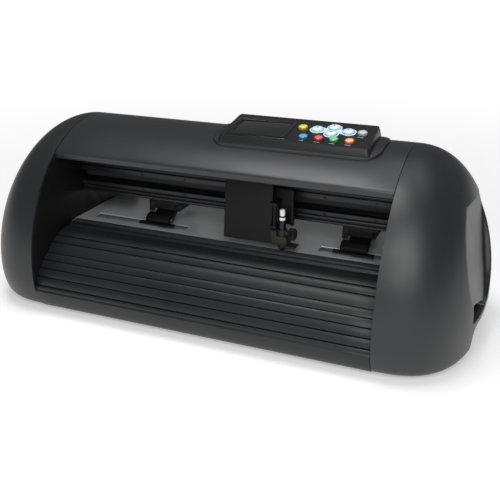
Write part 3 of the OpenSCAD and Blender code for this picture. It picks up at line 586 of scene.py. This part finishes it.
def end_cap(side):
    """One domed cap: a smooth dome with the hand recess let into it, and a turned-in rim at the bay."""
    recesses = recess_outlines()
    rim = resampled(outline(), 3.6)
    n = DOME_RINGS
    centre = np.array([CROWN_Y, WAIST_Z])

    def to_flat(yz):
        """Where a point of the cap, seen from its end, goes in the flat domain."""
        yz = np.asarray(yz, float)
        u = dome_u(yz[:, 0], yz[:, 1])
        dy, dz = scaled_out(yz[:, 0], yz[:, 1], u)
        t = np.degrees(np.arcsin(np.clip(u, 0, 1) ** (1 / DOME_EASE))) / 90
        return np.c_[dy, dz] * (1 - t)[:, None]

    flat, edges = [], []
    for i in range(n):
        u = math.sin(math.pi / 2 * i / n) ** DOME_EASE
        ring = rim[::1 if i < 34 else (2 if i < 50 else 6)]
        up = np.where(ring[:, 1] > WAIST_Z, close_by(u, UP_POWER), close_by(u, DOWN_POWER))
        yz = np.c_[CROWN_Y + (ring[:, 0] - CROWN_Y) * close_by(u, DEPTH_POWER),
                   WAIST_Z + (ring[:, 1] - WAIST_Z) * up]
        keep = np.ones(len(yz), bool)
        if i:
            for loop, floor in recesses:
                d = polygon_distance(yz, loop)
                keep &= (d > 3.4) | (d < -6.0) | (yz[:, 1] < 5.5)
            if side > 0:
                x = u * CAP_LEN
                socket = (x > 2.0) & (x < 68.0) & (yz[:, 0] > 90) & (yz[:, 1] > 12) & (yz[:, 1] < 72)
                keep &= ~socket
        start = len(flat)
        base = (ring - centre) * (1 - i / n)
        flat += [tuple(p) for p in base[keep]]
        if i == 0:
            edges.append((list(range(start, len(flat))), True))
    flat.append((0.0, 0.0))
    chains = []
    for k, (loop, floor) in enumerate(recesses):
        for off in RIM_OFFSETS:
            ring = inset_loop(loop, -off)
            ok = inside_outline(ring[:, 0] - CROWN_Y, ring[:, 1] - WAIST_Z) & (ring[:, 1] > 5.8)
            for j, (other, _) in enumerate(recesses):
                if j != k and off > 0:
                    ok &= polygon_distance(ring, other) > 1.3
            idx = np.where(ok)[0]
            if len(idx) < 4 or signed_area(ring) * signed_area(loop) <= 0:
                continue
            whole = bool(ok.all())
            runs = np.split(idx, np.where(np.diff(idx) > 1)[0] + 1)
            if not whole and len(runs) > 1 and idx[0] == 0 and idx[-1] == len(ring) - 1:
                runs = [np.r_[runs[-1], runs[0]]] + runs[1:-1]
            for run in runs:
                start = len(flat)
                flat += [tuple(p) for p in to_flat(ring[run])]
                chains.append((list(range(start, len(flat))), whole))
    hole = None
    if side > 0:
        sx, sz = (HALF_BAY + 4.9, HALF_BAY + 65.1), (14.9, 69.1)
        corners = rounded_polygon([(sx[0], sz[0]), (sx[1], sz[0]), (sx[1], sz[1]), (sx[0], sz[1])], 3)
        hole_xz = resampled(corners, 3.0)
        u = (hole_xz[:, 0] - HALF_BAY) / CAP_LEN
        up = np.where(hole_xz[:, 1] > WAIST_Z, close_by(u, UP_POWER), close_by(u, DOWN_POWER))
        dz = (hole_xz[:, 1] - WAIST_Z) / up
        low_side = REAR_REACH - CORNER_R + CORNER_R * np.sqrt(np.clip(1 - (dz / CORNER_H) ** 2, 0, 1))
        rise = np.clip(dz / RISE, 0, 1) ** REAR_POWER
        high_side = REAR_REACH * np.clip(1 - rise, 0, 1) ** (1 / REAR_POWER)
        dy = np.where(dz > 0, high_side, low_side)
        t = np.degrees(np.arcsin(u ** (1 / DOME_EASE))) / 90
        hole = np.c_[dy, dz] * (1 - t)[:, None]
        start = len(flat)
        flat += [tuple(p) for p in hole]
        chains.append((list(range(start, len(flat))), True))
        wide = np.c_[dy, dz] * (1 - t)[:, None]
        mid = wide.mean(0)
        for grow in (1.05, 1.12):
            round_hole = mid + (wide - mid) * grow
            kept = inside_outline(round_hole[:, 0] * 1.006, round_hole[:, 1] * 1.006)
            flat += [tuple(p) for p in round_hole[kept]]

    def place(pts):
        r = np.asarray(pts, float)
        # the share of the way in from the outline, found by scaling the direction back out
        low, high = np.zeros(len(r)), np.ones(len(r))
        for _ in range(44):
            midt = (low + high) / 2
            left = np.maximum(1 - midt, TINY)
            ok = inside_outline(r[:, 0] / left, r[:, 1] / left)
            low, high = np.where(ok, midt, low), np.where(ok, high, midt)
        t = (low + high) / 2
        t = np.where(t < 0.004, 0.0, t)
        u = np.sin(np.radians(90 * t)) ** DOME_EASE
        k = np.maximum(1 - t, TINY)
        oy, oz = r[:, 0] / k, r[:, 1] / k
        tip = t > 1 - 1e-6
        up = np.where(oz > 0, close_by(u, UP_POWER), close_by(u, DOWN_POWER))
        y = np.where(tip, CROWN_Y, CROWN_Y + oy * close_by(u, DEPTH_POWER))
        z = np.where(tip, WAIST_Z, WAIST_Z + oz * up)
        x = HALF_BAY + CAP_LEN * u
        yz = np.c_[y, z]
        for loop, floor in recesses:
            d = polygon_distance(yz, loop)
            x = carved(x, d, floor(z), 1.6, 0.9, 3.0, 1.4)
        return np.c_[side * x, y, z]

    bm = bmesh.new()
    inside_hole = (lambda c: polygon_distance(c, hole) < 0) if hole is not None else None
    carved_mesh(bm, flat, place, chains, edges, inside_hole)
    # the rim that turns in at the bay
    rings = [[(side * HALF_BAY, p[0], p[1]) for p in rim]]
    for x, i in ((0.0, 0.7), (0.05, 1.2), (0.1, 3.0), (14.0, 3.0)):
        rings.append([(side * (HALF_BAY + x), p[0], p[1]) for p in inset_loop(rim, i)])
    add_ring_strip(bm, rings, flip=side > 0)
    if hole is not None:
        hx = place(hole)
        deep = hx.copy()
        deep[:, 1] -= 4.0
        add_ring_strip(bm, [[tuple(p) for p in hx], [tuple(p) for p in deep]])
    bmesh.ops.remove_doubles(bm, verts=bm.verts, dist=2e-5)
    bmesh.ops.recalc_face_normals(bm, faces=bm.faces)
    name = "right_end_cap" if side > 0 else "left_end_cap"
    return finish_piece(name + "_moulding", bm, "frame", "casing", replaces=(name,), angle=38)


end_cap(1)
end_cap(-1)


# ---------------------------------------------------------------- cover, aprons and bed
def loft(name, node, loop, x0, x1, material, edge=0.5, middle=12, replaces=None, angle=32):
    bm = bmesh.new()
    extrusion(bm, loop, x0, x1, edge, 2, middle)
    return outward_piece(name, bm, node, material, replaces=replaces if replaces is not None else (node,),
                         angle=angle)


cover_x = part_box("top_cover")[1].x / MM
rear_cut = rear_angle(150.0)
outer = np.vstack([front_arch(0, LIP_ANGLE, 90, 40), rear_arch(0, 90, rear_cut, 36)[1:]])
inner = np.vstack([front_arch(3, LIP_ANGLE, 90, 40), rear_arch(3, 90, rear_cut, 36)[1:]])[::-1]
lip_out, lip_in = outer[0], inner[-1]
lip_corners = [lip_in + (0.2, 0.3), lip_in + (1.5, -6.0), lip_out + (0.8, -7.0), lip_out]
lip_fold = rounded_polygon(lip_corners, 1.1, 4)
cover_loop = np.vstack([outer[1:], inner[:-1], lip_fold[5:15],
                        [lip_out + (0.05, -0.9), lip_out + (0.35, -0.3)]])
bm = bmesh.new()
extrusion(bm, cover_loop, -cover_x, cover_x, 0.5, 3, 10)
outward_piece("top_cover_shell", bm, "top_cover", "cover", replaces=("top_cover",), angle=32)

# the front apron: rounded ribs between narrow, deep grooves
GROOVES = [(-50, 89.5), (-60, 88), (-74, 84), (-83, 78), (-96, 69), (-104.5, 62.5), (-112.5, 55),
           (-118, 46), (-122.5, 36), (-125, 31)]
apron_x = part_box("front_apron")[1].x / MM
front_line = [(-45, 90.5)]
for k, (p, q) in enumerate(zip(GROOVES[:-1], GROOVES[1:])):
    p, q = np.array(p, float), np.array(q, float)
    d = q - p
    length = np.linalg.norm(d)
    out_dir = np.array([-abs(d[1]), abs(d[0])]) / length
    # each groove is as deep and half as wide as these, and each rib falls away towards its lower edge
    deep, half = ((3.0, 1.5), (3.0, 1.5), (2.4, 1.1))[k] if k < 3 else (1.8, 0.7)
    height = 1.7 if k else 0.5
    steps = 16
    front_line.append(tuple(p - out_dir * deep))
    for i in range(steps + 1):
        s = half / length + (1 - 2 * half / length) * i / steps
        crest = math.sin(math.pi * min(1.0, 0.06 + s * 0.94) ** 0.75) ** 0.7
        front_line.append(tuple(p + s * d + out_dir * (height * crest - 0.35)))
front_line += [GROOVES[-1], (-125.6, 30.0), (-126, 29), (-125.1, 24), (-123.5, 19), (-121.5, 15),
               (-119, 11), (-116, 7.6), (-112, 4.5), (-109, 3.4), (-106, 3)]
back_line = [(-94, 3), (-94, 5.5), (-105, 5.5), (-110, 7), (-116, 13), (-120, 21)]
back_line += [(g[0] + 3, g[1] - 3) for g in GROOVES[::-1]] + [(-45, 88)]
loft("front_apron_ribbed", "front_apron", np.array(front_line + back_line), -apron_x, apron_x, "apron",
     edge=0.6, middle=14, angle=24)

low = rear_angle(84.0)
rear_middle = (CROWN_Y + REAR_REACH - CORNER_R, WAIST_Z)
rear_low = quarter(rear_middle, (CORNER_R - 0.5, CORNER_H - 0.5), 2, 0, -90, 18)
rear_low_in = quarter(rear_middle, (CORNER_R - 3.5, CORNER_H - 3.5), 2, -90, -6, 18)
bed_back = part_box("platen")[1].y / MM
rear_loop = np.vstack([[(bed_back + 1, 91.5), (112, 89.5), (121, 88)], rear_arch(0.5, low, 0, 20),
                       rear_low[1:],
                       [(100, 3.5), (100, 6.5)], rear_low_in, rear_arch(3.5, 0, low, 20)[1:],
                       [(118, 85), (bed_back + 1, 88.5)]])
loft("rear_apron_shell", "rear_apron", rear_loop, -apron_x, apron_x, "apron", edge=0.6, middle=10)

platen = refined("platen", 0.35, 2, name="platen_bed")
# the fold in front of the strip takes the darker rail material: painted shade that dulls the highlight line
# along it
platen.data.materials.append(MATS["rail_steel"])
for f in platen.data.polygons:
    if f.center.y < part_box("cutting_strip")[0].y:
        f.material_index = 1
refined("cutting_strip", 0.18, 2, name="cutting_strip_bar")
refined("base_plate", 0.4, 2, name="base_plate_pressing")
refined("cross_members", 0.3, 2, name="cross_member_pressings")
refined("left_side_frame", 0.35, 2, name="left_side_cheek")
refined("right_side_frame", 0.35, 2, name="right_side_cheek")
refined("socket_tray", 0.4, 2, name="socket_tray_moulding")
refined("power_inlet", 0.3, 2, name="power_inlet_module")
refined("power_switch", 0.5, 3, name="power_switch_rocker")
refined("shaft_bearings", 0.3, 2, name="shaft_bearing_bushes")

# rubber feet: turned, with a sunk screw
for i, x in enumerate((-1, 1)):
    for k, y in enumerate((-78.0, 88.0)):
        fx = x * (HALF_BAY - 30)
        bm = bmesh.new()
        prof = soft_profile([(4.0, 3.0), (4.0, 0.0), (9.4, 0.0), (10.4, 1.4), (11.0, 6.5), (11.0, 8.0),
                             (4.0, 8.0)], 0.7)
        lathe(bm, prof, (fx, y, 0), (0, 0, 1), 56, close_ends=False)
        lathe(bm, [(3.99, 3.0), (0.6, 3.0)], (fx, y, 0), (0, 0, 1), 56, close_ends=True)
        outward_piece(f"rubber_foot_{i}{k}", bm, "frame", "feet_rubber",
                      replaces=("rubber_feet",) if not (i or k) else (), slot="feet_rubber")
        screw(f"foot_screw_{i}{k}", (fx, y, 2.9), (0, 0, -1), "frame", 2.6, 1.5)


# ---------------------------------------------------------------- beam
beam_lo, beam_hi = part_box("main_beam")
by0, bz0, by1, bz1 = beam_lo.y / MM, beam_lo.z / MM, beam_hi.y / MM, beam_hi.z / MM
face = by0
beam_outer = rounded_polygon([
    (face, bz0), (by1, bz0), (by1, bz1), (face, bz1), (face, bz1 - 3), (face + 2.2, bz1 - 3.6),
    (face + 2.2, bz1 - 9), (face, bz1 - 9.6), (face, 152), (face + 7, 152), (face + 7, bz1 - 4),
    (by1 - 3, bz1 - 4), (by1 - 3, bz0 + 3), (face + 7, bz0 + 3), (face + 7, 138), (face, 138),
    (face, 133.5), (face + 2.2, 133), (face + 2.2, 127.5),
    (face, 127)], 0.35, 2)
loft("main_beam_extrusion", "main_beam", beam_outer, -HALF_BAY, HALF_BAY, "beam_metal", edge=0.2, middle=6)
for tag, z in (("upper", bz1 - 6.3), ("lower", 130.25)):
    bm = bmesh.new()
    lathe(bm, soft_profile([(1.4, 0), (1.9, 0.4), (1.9, 2 * HALF_BAY - 0.8 - 0.4),
                            (1.4, 2 * HALF_BAY - 0.8)], 0.2),
          (-HALF_BAY + 0.4, face + 1.95, z), (1, 0, 0), 32)
    outward_piece(f"guide_rail_{tag}", bm, "frame", "rail_steel", slot="shaft_steel")
for k, x in enumerate(range(-180, 181, 60)):
    for tag, z in (("u", 155.2), ("l", 135.8)):
        screw(f"beam_screw_{tag}{k}", (x, face - 0.02, z), (0, -1, 0), "frame", 1.5, 0.4, "dark_screw")
# ---------------------------------------------------------------- keypad panel
PANEL_X, FACE_Y, FACE_Z = -2.0, -19.0, 221.3
FACE_TURN = Matrix.Rotation(TILT, 3, "X")
FACE_UP = FACE_TURN @ Vector((0, 0, 1))


def on_face(x, y, z=0.0):
    """A point of the sloping face, from its own X, Y up the slope and height, in millimetres."""
    return Vector((x + PANEL_X, FACE_Y, FACE_Z)) + FACE_TURN @ Vector((0, y, z))


def plate(bm, outer, holes, place, low, high, edge=0.12):
    """A flat plate with holes, its top edges softened. place turns (u, v, height) into a point in mm."""
    loops = [np.asarray(outer, float)] + [np.asarray(h, float) for h in holes]
    loops = [p if signed_area(p) > 0 else p[::-1] for p in loops]
    top_loops = [inset_loop(p, edge if k == 0 else -edge) for k, p in enumerate(loops)]
    for height, rings, flip in ((high, top_loops, False), (low, loops, True)):
        points, chain, start = [], [], 0
        for p in rings:
            points += [Vector(q) for q in p]
            chain += [(start + i, start + (i + 1) % len(p)) for i in range(len(p))]
            start += len(p)
        out = delaunay_2d_cdt(points, chain, [], 0, TINY)
        flat = np.array([tuple(v) for v in out[0]])
        middles = np.array([flat[list(f)].mean(0) for f in out[2]])
        keep = polygon_distance(middles, rings[0]) < 0
        for hole in rings[1:]:
            keep &= polygon_distance(middles, hole) > 0
        made = [bm.verts.new(place(u, v, height) * MM) for u, v in flat]
        for f, ok in zip(out[2], keep):
            if ok:
                bm.faces.new([made[i] for i in (f[::-1] if flip else f)])
        bmesh.ops.delete(bm, geom=[v for v in made if not v.link_faces], context="VERTS")
    for p, q in zip(loops, top_loops):
        add_ring_strip(bm, [[tuple(place(u, v, low)) for u, v in p],
                            [tuple(place(u, v, high - edge)) for u, v in p],
                            [tuple(place(u, v, high)) for u, v in q]])
    bmesh.ops.remove_doubles(bm, verts=bm.verts, dist=1e-6)
    bmesh.ops.recalc_face_normals(bm, faces=bm.faces)


def circle(x, y, r, n=48):
    return [(x + r * math.cos(2 * math.pi * i / n),
             y + r * math.sin(2 * math.pi * i / n)) for i in range(n)]


refined("panel_base", 1.1, 3, name="panel_base_flange")

# the housing: its four standing corners are rounded well, its other edges a little
bm = bmesh.new()
bm.from_mesh(frame["nodes"]["panel_housing"].data)
for layer in list(bm.loops.layers.uv):
    bm.loops.layers.uv.remove(layer)
bmesh.ops.remove_doubles(bm, verts=bm.verts, dist=2e-6)
bmesh.ops.dissolve_limit(bm, angle_limit=math.radians(0.7), verts=bm.verts, edges=bm.edges,
                         use_dissolve_boundaries=False)
house_low, house_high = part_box("panel_housing")


def standing_corner(e):
    """An outer edge between an end wall and the front or back of the housing."""
    if len(e.link_faces) != 2 or e.calc_face_angle(0.0) < math.radians(40):
        return False
    u, v = (f.normal for f in e.link_faces)
    side, other = (u, v) if abs(u.x) > abs(v.x) else (v, u)
    middle = (e.verts[0].co + e.verts[1].co) / 2
    out = (middle.x - (house_low.x + house_high.x) / 2) * side.x > 0
    depth = (middle.y - (house_low.y + house_high.y) / 2) * other.y > 0
    return abs(side.x) > 0.9 and abs(other.y) > 0.3 and out and depth


corners = [e for e in bm.edges if standing_corner(e)]
bmesh.ops.bevel(bm, geom=corners, offset=5.0 * MM, offset_type="OFFSET", segments=6, profile=0.5,
                affect="EDGES",
                clamp_overlap=True)
bm.normal_update()
sharp = [e for e in bm.edges if len(e.link_faces) == 2 and e.calc_face_angle(0.0) > math.radians(28)]
bmesh.ops.bevel(bm, geom=sharp, offset=0.7 * MM, offset_type="OFFSET", segments=3, profile=0.5,
                affect="EDGES",
                clamp_overlap=True)
finish_piece("panel_housing_moulding", bm, "panel_housing", "panel", replaces=("panel_housing",), angle=40)
refined("display_window", 0.3, 2, name="display_bezel")
refined("display_screen", 0.3, 2, name="display_glass")
refined("keypad_board", 0.2, 1, name="keypad_circuit_board")

ROUND_KEYS = {"key_yellow": (86, 33), "key_grey": (156, 32.5), "key_blue": (94, 9.5), "key_red": (112, 9.5),
              "key_green": (129.5, 9.5), "key_orange": (147.5, 9.5)}
ARROW_KEYS = {"key_left": (103.5, 32), "key_right": (140, 32.5), "key_up": (121.5, 40),
              "key_down": (122, 24.4)}


def key_cap(node, at, r, colour, light):
    """A domed key: a coloured skirt and ring, and a lighter dome set in it."""
    def dome(radius):
        return 3.2 - 2.6 * r + math.sqrt((2.6 * r) ** 2 - radius ** 2) - 0.02
    skirt = soft_profile([(0.5, -4.5), (r + 0.3, -4.5), (r + 0.3, -2.9), (r, -2.9), (r, dome(r) - 0.05),
                          (r * 0.93, dome(r * 0.93)), (r * 0.80, dome(r * 0.80)),
                          (r * 0.77, dome(r * 0.77) - 0.14)],
                         0.28, 3)
    top = [(r * k, dome(r * k) - 0.14 * (k > 0.75))
           for k in (0.77, 0.73, 0.66, 0.56, 0.45, 0.33, 0.2, 0.08)]
    bm = bmesh.new()
    rings = lathe(bm, skirt + top[1:], on_face(*at), FACE_UP, 56)
    n = len(skirt)
    inner = {v for ring in rings[n - 1:] for v in ring}
    for f in bm.faces:
        if all(v in inner for v in f.verts):
            f.material_index = 1
    outward_piece(node + "_cap", bm, node, [colour, light], replaces=(node,), angle=50)


for node, at in ROUND_KEYS.items():
    key_cap(node, at, 5.6, node, node + "_light")
for node, at in ARROW_KEYS.items():
    key_cap(node, at, 7.0, "key_arrow", "key_arrow_light")

# a pale printed pad joins the four arrow keys, and each key has a small dark arrow
pad_middle = np.array([121.75, 32.2])
pad = []
for i in range(150):
    a = 2 * math.pi * i / 150
    d = np.array([math.cos(a), math.sin(a)])
    reach = 6.0
    for cx, cy in ARROW_KEYS.values():
        c = np.array([cx, cy]) - pad_middle
        along = float(c @ d)
        gap = 8.9 ** 2 - float(c @ c) + along ** 2
        if gap > 0:
            reach = max(reach, along + math.sqrt(gap))
    pad.append(tuple(pad_middle + d * reach))
bm = bmesh.new()
plate(bm, pad, [circle(*at, 7.36) for at in ARROW_KEYS.values()], on_face, 0.0, 0.22, 0.08)
finish_piece("arrow_pad_print", bm, "frame", "key_arrow_light", slot="key_arrow", angle=40)
for node, (x, y) in ARROW_KEYS.items():
    dx, dy = {"key_left": (-1, 0), "key_right": (1, 0), "key_up": (0, 1), "key_down": (0, -1)}[node]
    tri = rounded_polygon([(x + 1.5 * dx, y + 1.5 * dy), (x - 0.9 * dx - 1.4 * dy, y - 0.9 * dy + 1.4 * dx),
                           (x - 0.9 * dx + 1.4 * dy, y - 0.9 * dy - 1.4 * dx)], 0.4, 3)
    bm = bmesh.new()
    plate(bm, tri, [], on_face, 2.9, 3.19, 0.08)
    finish_piece(node + "_mark", bm, node, "print_dark", slot="key_arrow", angle=40)

# plain bars under the keys, where a keypad has its legends
bars = [(94, 1.6, 5.5), (112, 1.2, 7), (129.5, 1.2, 6.5), (147.5, 1.2, 7), (156, 22.6, 7.5)]
for k, (x, y, w) in enumerate(bars):
    loop = rounded_polygon([(x - w / 2, y - 0.6), (x + w / 2, y - 0.6), (x + w / 2, y + 0.6),
                            (x - w / 2, y + 0.6)],
                           0.5, 3)
    bm = bmesh.new()
    plate(bm, loop, [], on_face, -0.02, 0.16, 0.06)
    finish_piece(f"legend_bar_{k}", bm, "frame", "print_grey", slot="key_grey", angle=40)


# ---------------------------------------------------------------- carriage and tool
refined("carriage_cover", 1.3, 4, name="carriage_cover_shell")
refined("carriage_plate", 0.3, 2, name="carriage_chassis")
refined("tool_slide", 0.45, 2, name="tool_slide_block")
TOOL_X, TOOL_Y, KNOB_Z = 79.0, -37.5, 116.5


def knurled(bm, profile, origin, axis, teeth, depth, first, last):
    """A turned shape whose rings from first to last have a fine toothed grip."""
    rings = lathe(bm, profile, origin, axis, teeth * 4)
    axis = Vector(axis).normalized()
    for ring in rings[first:last]:
        for i, v in enumerate(ring):
            away = v.co - Vector(origin) * MM
            away -= axis * away.dot(axis)
            v.co -= away.normalized() * depth * MM * (0.0, 0.5, 1.0, 0.5)[i % 4]
    bmesh.ops.recalc_face_normals(bm, faces=bm.faces)


bm = bmesh.new()
knurled(bm, [(1.48, 5.2), (1.48, 8.4), (5.4, 8.4), (6.4, 8.7), (6.9, 9.6), (7.0, 10.4), (7.0, 12.4),
             (7.0, 14.6), (6.9, 15.4), (6.3, 16.2), (5.2, 16.5), (4.6, 16.2), (1.0, 16.1)],
        (TOOL_X, TOOL_Y, KNOB_Z), (1, 0, 0), 36, 0.45, 4, 9)
finish_piece("clamp_knob_grip", bm, "clamp_knob", "black_plastic", replaces=("clamp_knob",), angle=35)

bm = bmesh.new()
at = (TOOL_X, TOOL_Y, 0)
barrel = soft_profile([(1.1, 96), (2.6, 96), (4.5, 99), (4.5, 103.2), (4.2, 103.5), (4.2, 104.4),
                       (4.5, 104.7), (4.5, 121.2), (4.1, 121.6), (4.1, 122.4), (4.5, 122.8),
                       (4.5, 132), (1.0, 132)], 0.2, 2)
lathe(bm, barrel, at, (0, 0, 1), 56)
outward_piece("blade_holder_barrel", bm, "blade_holder", "holder_metal", replaces=("blade_holder",),
              angle=35)
bm = bmesh.new()
knurled(bm, [(1.0, 132.02), (3.0, 132.02), (3.3, 132.4), (3.4, 133), (3.4, 134.6), (3.3, 135.1),
             (3.0, 135.5), (1.0, 135.5)], at, (0, 0, 1), 24, 0.14, 2, 6)
finish_piece("blade_holder_ring", bm, "tool", "white_plastic", slot="holder_metal", angle=30)
bm = bmesh.new()
lathe(bm, soft_profile([(0.8, 135.5), (2.4, 135.5), (2.4, 137.52), (0.8, 137.52)], 0.15, 2), at,
      (0, 0, 1), 40)
outward_piece("blade_holder_neck", bm, "tool", "holder_metal", slot="holder_metal", angle=35)
bm = bmesh.new()
lathe(bm, soft_profile([(0.6, 137.52), (3.1, 137.52), (3.1, 144.98), (0.6, 144.98)], 0.6, 4), at,
      (0, 0, 1), 40)
outward_piece("blade_holder_plunger", bm, "tool", "white_plastic", slot="holder_metal", angle=35)
bm = bmesh.new()
lathe(bm, [(0.06, 95.3), (0.98, 97.0), (0.98, 117.3), (0.8, 117.5)], at, (0, 0, 1), 32)
outward_piece("blade_shank", bm, "blade", "blade_steel", replaces=("blade",), angle=35)


# ---------------------------------------------------------------- feed shaft and pinch units
def turned(name, node, profile, origin, axis, material, seg=56, r=0.3, replaces=None, slot=None):
    bm = bmesh.new()
    lathe(bm, soft_profile(profile, r, 2), origin, axis, seg)
    return outward_piece(name, bm, node, material, replaces=(node,) if replaces is None else replaces,
                         slot=slot, angle=35)


SHAFT_Y, SHAFT_Z = -10.0, 85.5
shaft_low, shaft_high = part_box("grit_shaft")
turned("grit_shaft_rod", "grit_shaft",
       [(0.5, shaft_low.x / MM), (3.98, shaft_low.x / MM), (3.98, shaft_high.x / MM),
        (0.5, shaft_high.x / MM)],
       (0, SHAFT_Y, SHAFT_Z), (1, 0, 0), "shaft_steel", 40, 0.5)
for k, (x0, x1) in enumerate(((-188.0, -60.0), (118.0, 198.0))):
    turned(f"grit_drum_{k}", "feed_shaft",
           [(3.99, x0 + 0.1), (7.6, x0), (8.0, x0 + 0.5), (8.0, x1 - 0.5), (7.6, x1), (3.99, x1 - 0.1)],
           (0, SHAFT_Y, SHAFT_Z), (1, 0, 0), "grit", 72, 0.2, replaces=(), slot="shaft_steel")
for side, x in (("left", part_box("left_pinch_roller")), ("right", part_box("right_pinch_roller"))):
    middle = (x[0] + x[1]) / 2 / MM
    turned(f"{side}_pinch_tyre", f"{side}_pinch_roller",
           [(1.5, -7), (5.2, -7), (6.0, -6.2), (6.0, -2.6), (5.8, -2.3), (6.0, -2.0), (6.0, 2.0),
            (5.8, 2.3), (6.0, 2.6), (6.0, 6.2), (5.2, 7), (1.5, 7)],
           tuple(middle), (1, 0, 0), "tyre_rubber", 56, 0.15)
    turned(f"{side}_pinch_axle", f"{side}_pinch_roller", [(0.4, -12), (1.48, -12), (1.48, 12), (0.4, 12)],
           tuple(middle), (1, 0, 0), "shaft_steel", 24, 0.25, replaces=(), slot="shaft_steel")
    refined(f"{side}_pinch_bracket", 0.35, 2, name=f"{side}_pinch_bracket_fork")
    refined(f"{side}_pinch_arm", 0.3, 2, name=f"{side}_pinch_arm_link")
    refined(f"{side}_pinch_lever", 0.9, 3, name=f"{side}_pinch_lever_cam")
    refined(f"{side}_guide_roller", 0.4, 2, name=f"{side}_guide_roller_wheel")
    # a moulded hood over the arm, in front of the roller and above it
    x0 = middle[0]
    hood = rounded_polygon([(-20.4, 98.9), (-20.4, 103.2), (-14.6, 107.2), (-9, 107.9), (-7.4, 108.0),
                            (-7.4, 107.0), (-9, 106.8), (-14.1, 106.2), (-19.2, 102.7),
                            (-19.2, 98.9)], 0.4, 3)
    link = rounded_polygon([(-7.9, 108.0), (-4.4, 108.7), (2, 111.8), (2, 110.6), (-4.4, 107.6),
                            (-7.9, 106.9)], 0.3, 2)
    bm = bmesh.new()
    extrusion(bm, hood, x0 - 19.0, x0 + 13.0, 0.4, 2, 2)
    extrusion(bm, link, x0 - 12.4, x0 + 12.4, 0.3, 2, 2)
    outward_piece(f"{side}_pinch_arm_hood", bm, f"{side}_pinch_arm", "black_plastic", slot="black_plastic",
                  angle=32)
    # the folded wing beside the bracket's front web
    wing = rounded_polygon([(-7.2, 108.2), (-7.2, 120.4), (-5.3, 120.4), (-5.3, 108.2)], 0.4, 3)
    bm = bmesh.new()
    extrusion(bm, wing, x0 - 20.4, x0 - 13.1, 0.4, 2, 1)
    outward_piece(f"{side}_pinch_bracket_wing", bm, f"{side}_pinch_bracket", "black_plastic",
                  slot="black_plastic", angle=32)

# ---------------------------------------------------------------- drives and electronics
for node, width in (("feed_shaft_pulley", 0.25), ("feed_motor_pulley", 0.25), ("feed_belt", 0.15),
                    ("feed_motor", 0.6), ("carriage_motor", 0.6), ("drive_pulley", 0.25),
                    ("idler_pulley", 0.25), ("carriage_belt", 0.15), ("power_supply", 0.8),
                    ("case_screws", 0.3)):
    refined(node, width, 2, name=node + "_part")
board = refined("mainboard", 0.15, 1, name="mainboard_assembly")
board.data.materials.append(MATS["black_plastic"])
for f in board.data.polygons:
    if f.center.z > 19.7 * MM:
        f.material_index = 1


# ---------------------------------------------------------------- floor, light and camera
LIGHT_AIM = Vector((0.0, 0.0, 0.1))


def area(name, at, size, power):
    """A white area light that shines at the machine."""
    data = bpy.data.lights.new(name, "AREA")
    data.shape = "RECTANGLE"
    data.size, data.size_y = size
    data.energy = power
    o = bpy.data.objects.new(name, data)
    bpy.context.scene.collection.objects.link(o)
    o.location = at
    o.rotation_euler = (LIGHT_AIM - Vector(at)).to_track_quat("-Z", "Y").to_euler()


world = bpy.data.worlds.new("studio")
bpy.context.scene.world = world
world.use_nodes = True
world.node_tree.nodes["Background"].inputs["Color"].default_value = (1, 1, 1, 1)
world.node_tree.nodes["Background"].inputs["Strength"].default_value = 0.14

bm = bmesh.new()
s = 12.0
bm.faces.new([bm.verts.new(p) for p in ((-s, -s, 0), (s, -s, 0), (s, s, 0), (-s, s, 0))])
mesh = bpy.data.meshes.new("studio_floor")
bm.to_mesh(mesh)
bm.free()
floor = bpy.data.objects.new("studio_floor", mesh)
bpy.context.scene.collection.objects.link(floor)
m, nodes, links, bsdf = new_material("floor_paper")
vec = object_coords(nodes, links)
links.new(ramp(nodes, links, noise(nodes, links, vec, 3.0, 3.0),
               [(0.3, (0.83, 0.83, 0.83, 1)), (0.7, (0.86, 0.86, 0.86, 1))]),
          bsdf.inputs["Base Color"])
bsdf.inputs["Roughness"].default_value = 0.9
# the floor glows: painted light, dimmer near the machine so that it reads as shade around it, and brighter
# further out
bsdf.inputs["Emission Color"].default_value = (1, 1, 1, 1)
reach = nodes.new("ShaderNodeVectorMath")
reach.operation = "LENGTH"
links.new(vec, reach.inputs[0])
glow = nodes.new("ShaderNodeMapRange")
for socket, value in zip(("From Min", "From Max", "To Min", "To Max"), (0.5, 1.9, 0.3, 0.9)):
    glow.inputs[socket].default_value = value
links.new(reach.outputs["Value"], glow.inputs["Value"])
links.new(glow.outputs["Result"], bsdf.inputs["Emission Strength"])
mesh.materials.append(m)

area("key_light", (0.5, -1.3, 1.0), (1.2, 1.1), 18)
area("cover_light", (-0.15, -0.15, 1.5), (0.9, 0.45), 9.5)
area("top_light", (0.4, 0.5, 1.8), (1.2, 0.8), 4)

camera = bpy.data.cameras.new("camera")
camera.sensor_width = 36.0
camera.lens = 54.78
cam = bpy.data.objects.new("camera", camera)
bpy.context.scene.collection.objects.link(cam)
cam.location = (0.3589, -0.8051, 0.4312)
cam.rotation_euler = (math.radians(67.63), 0.0, math.radians(22.63))
bpy.context.scene.camera = cam
bpy.context.scene.view_settings.view_transform = "Standard"
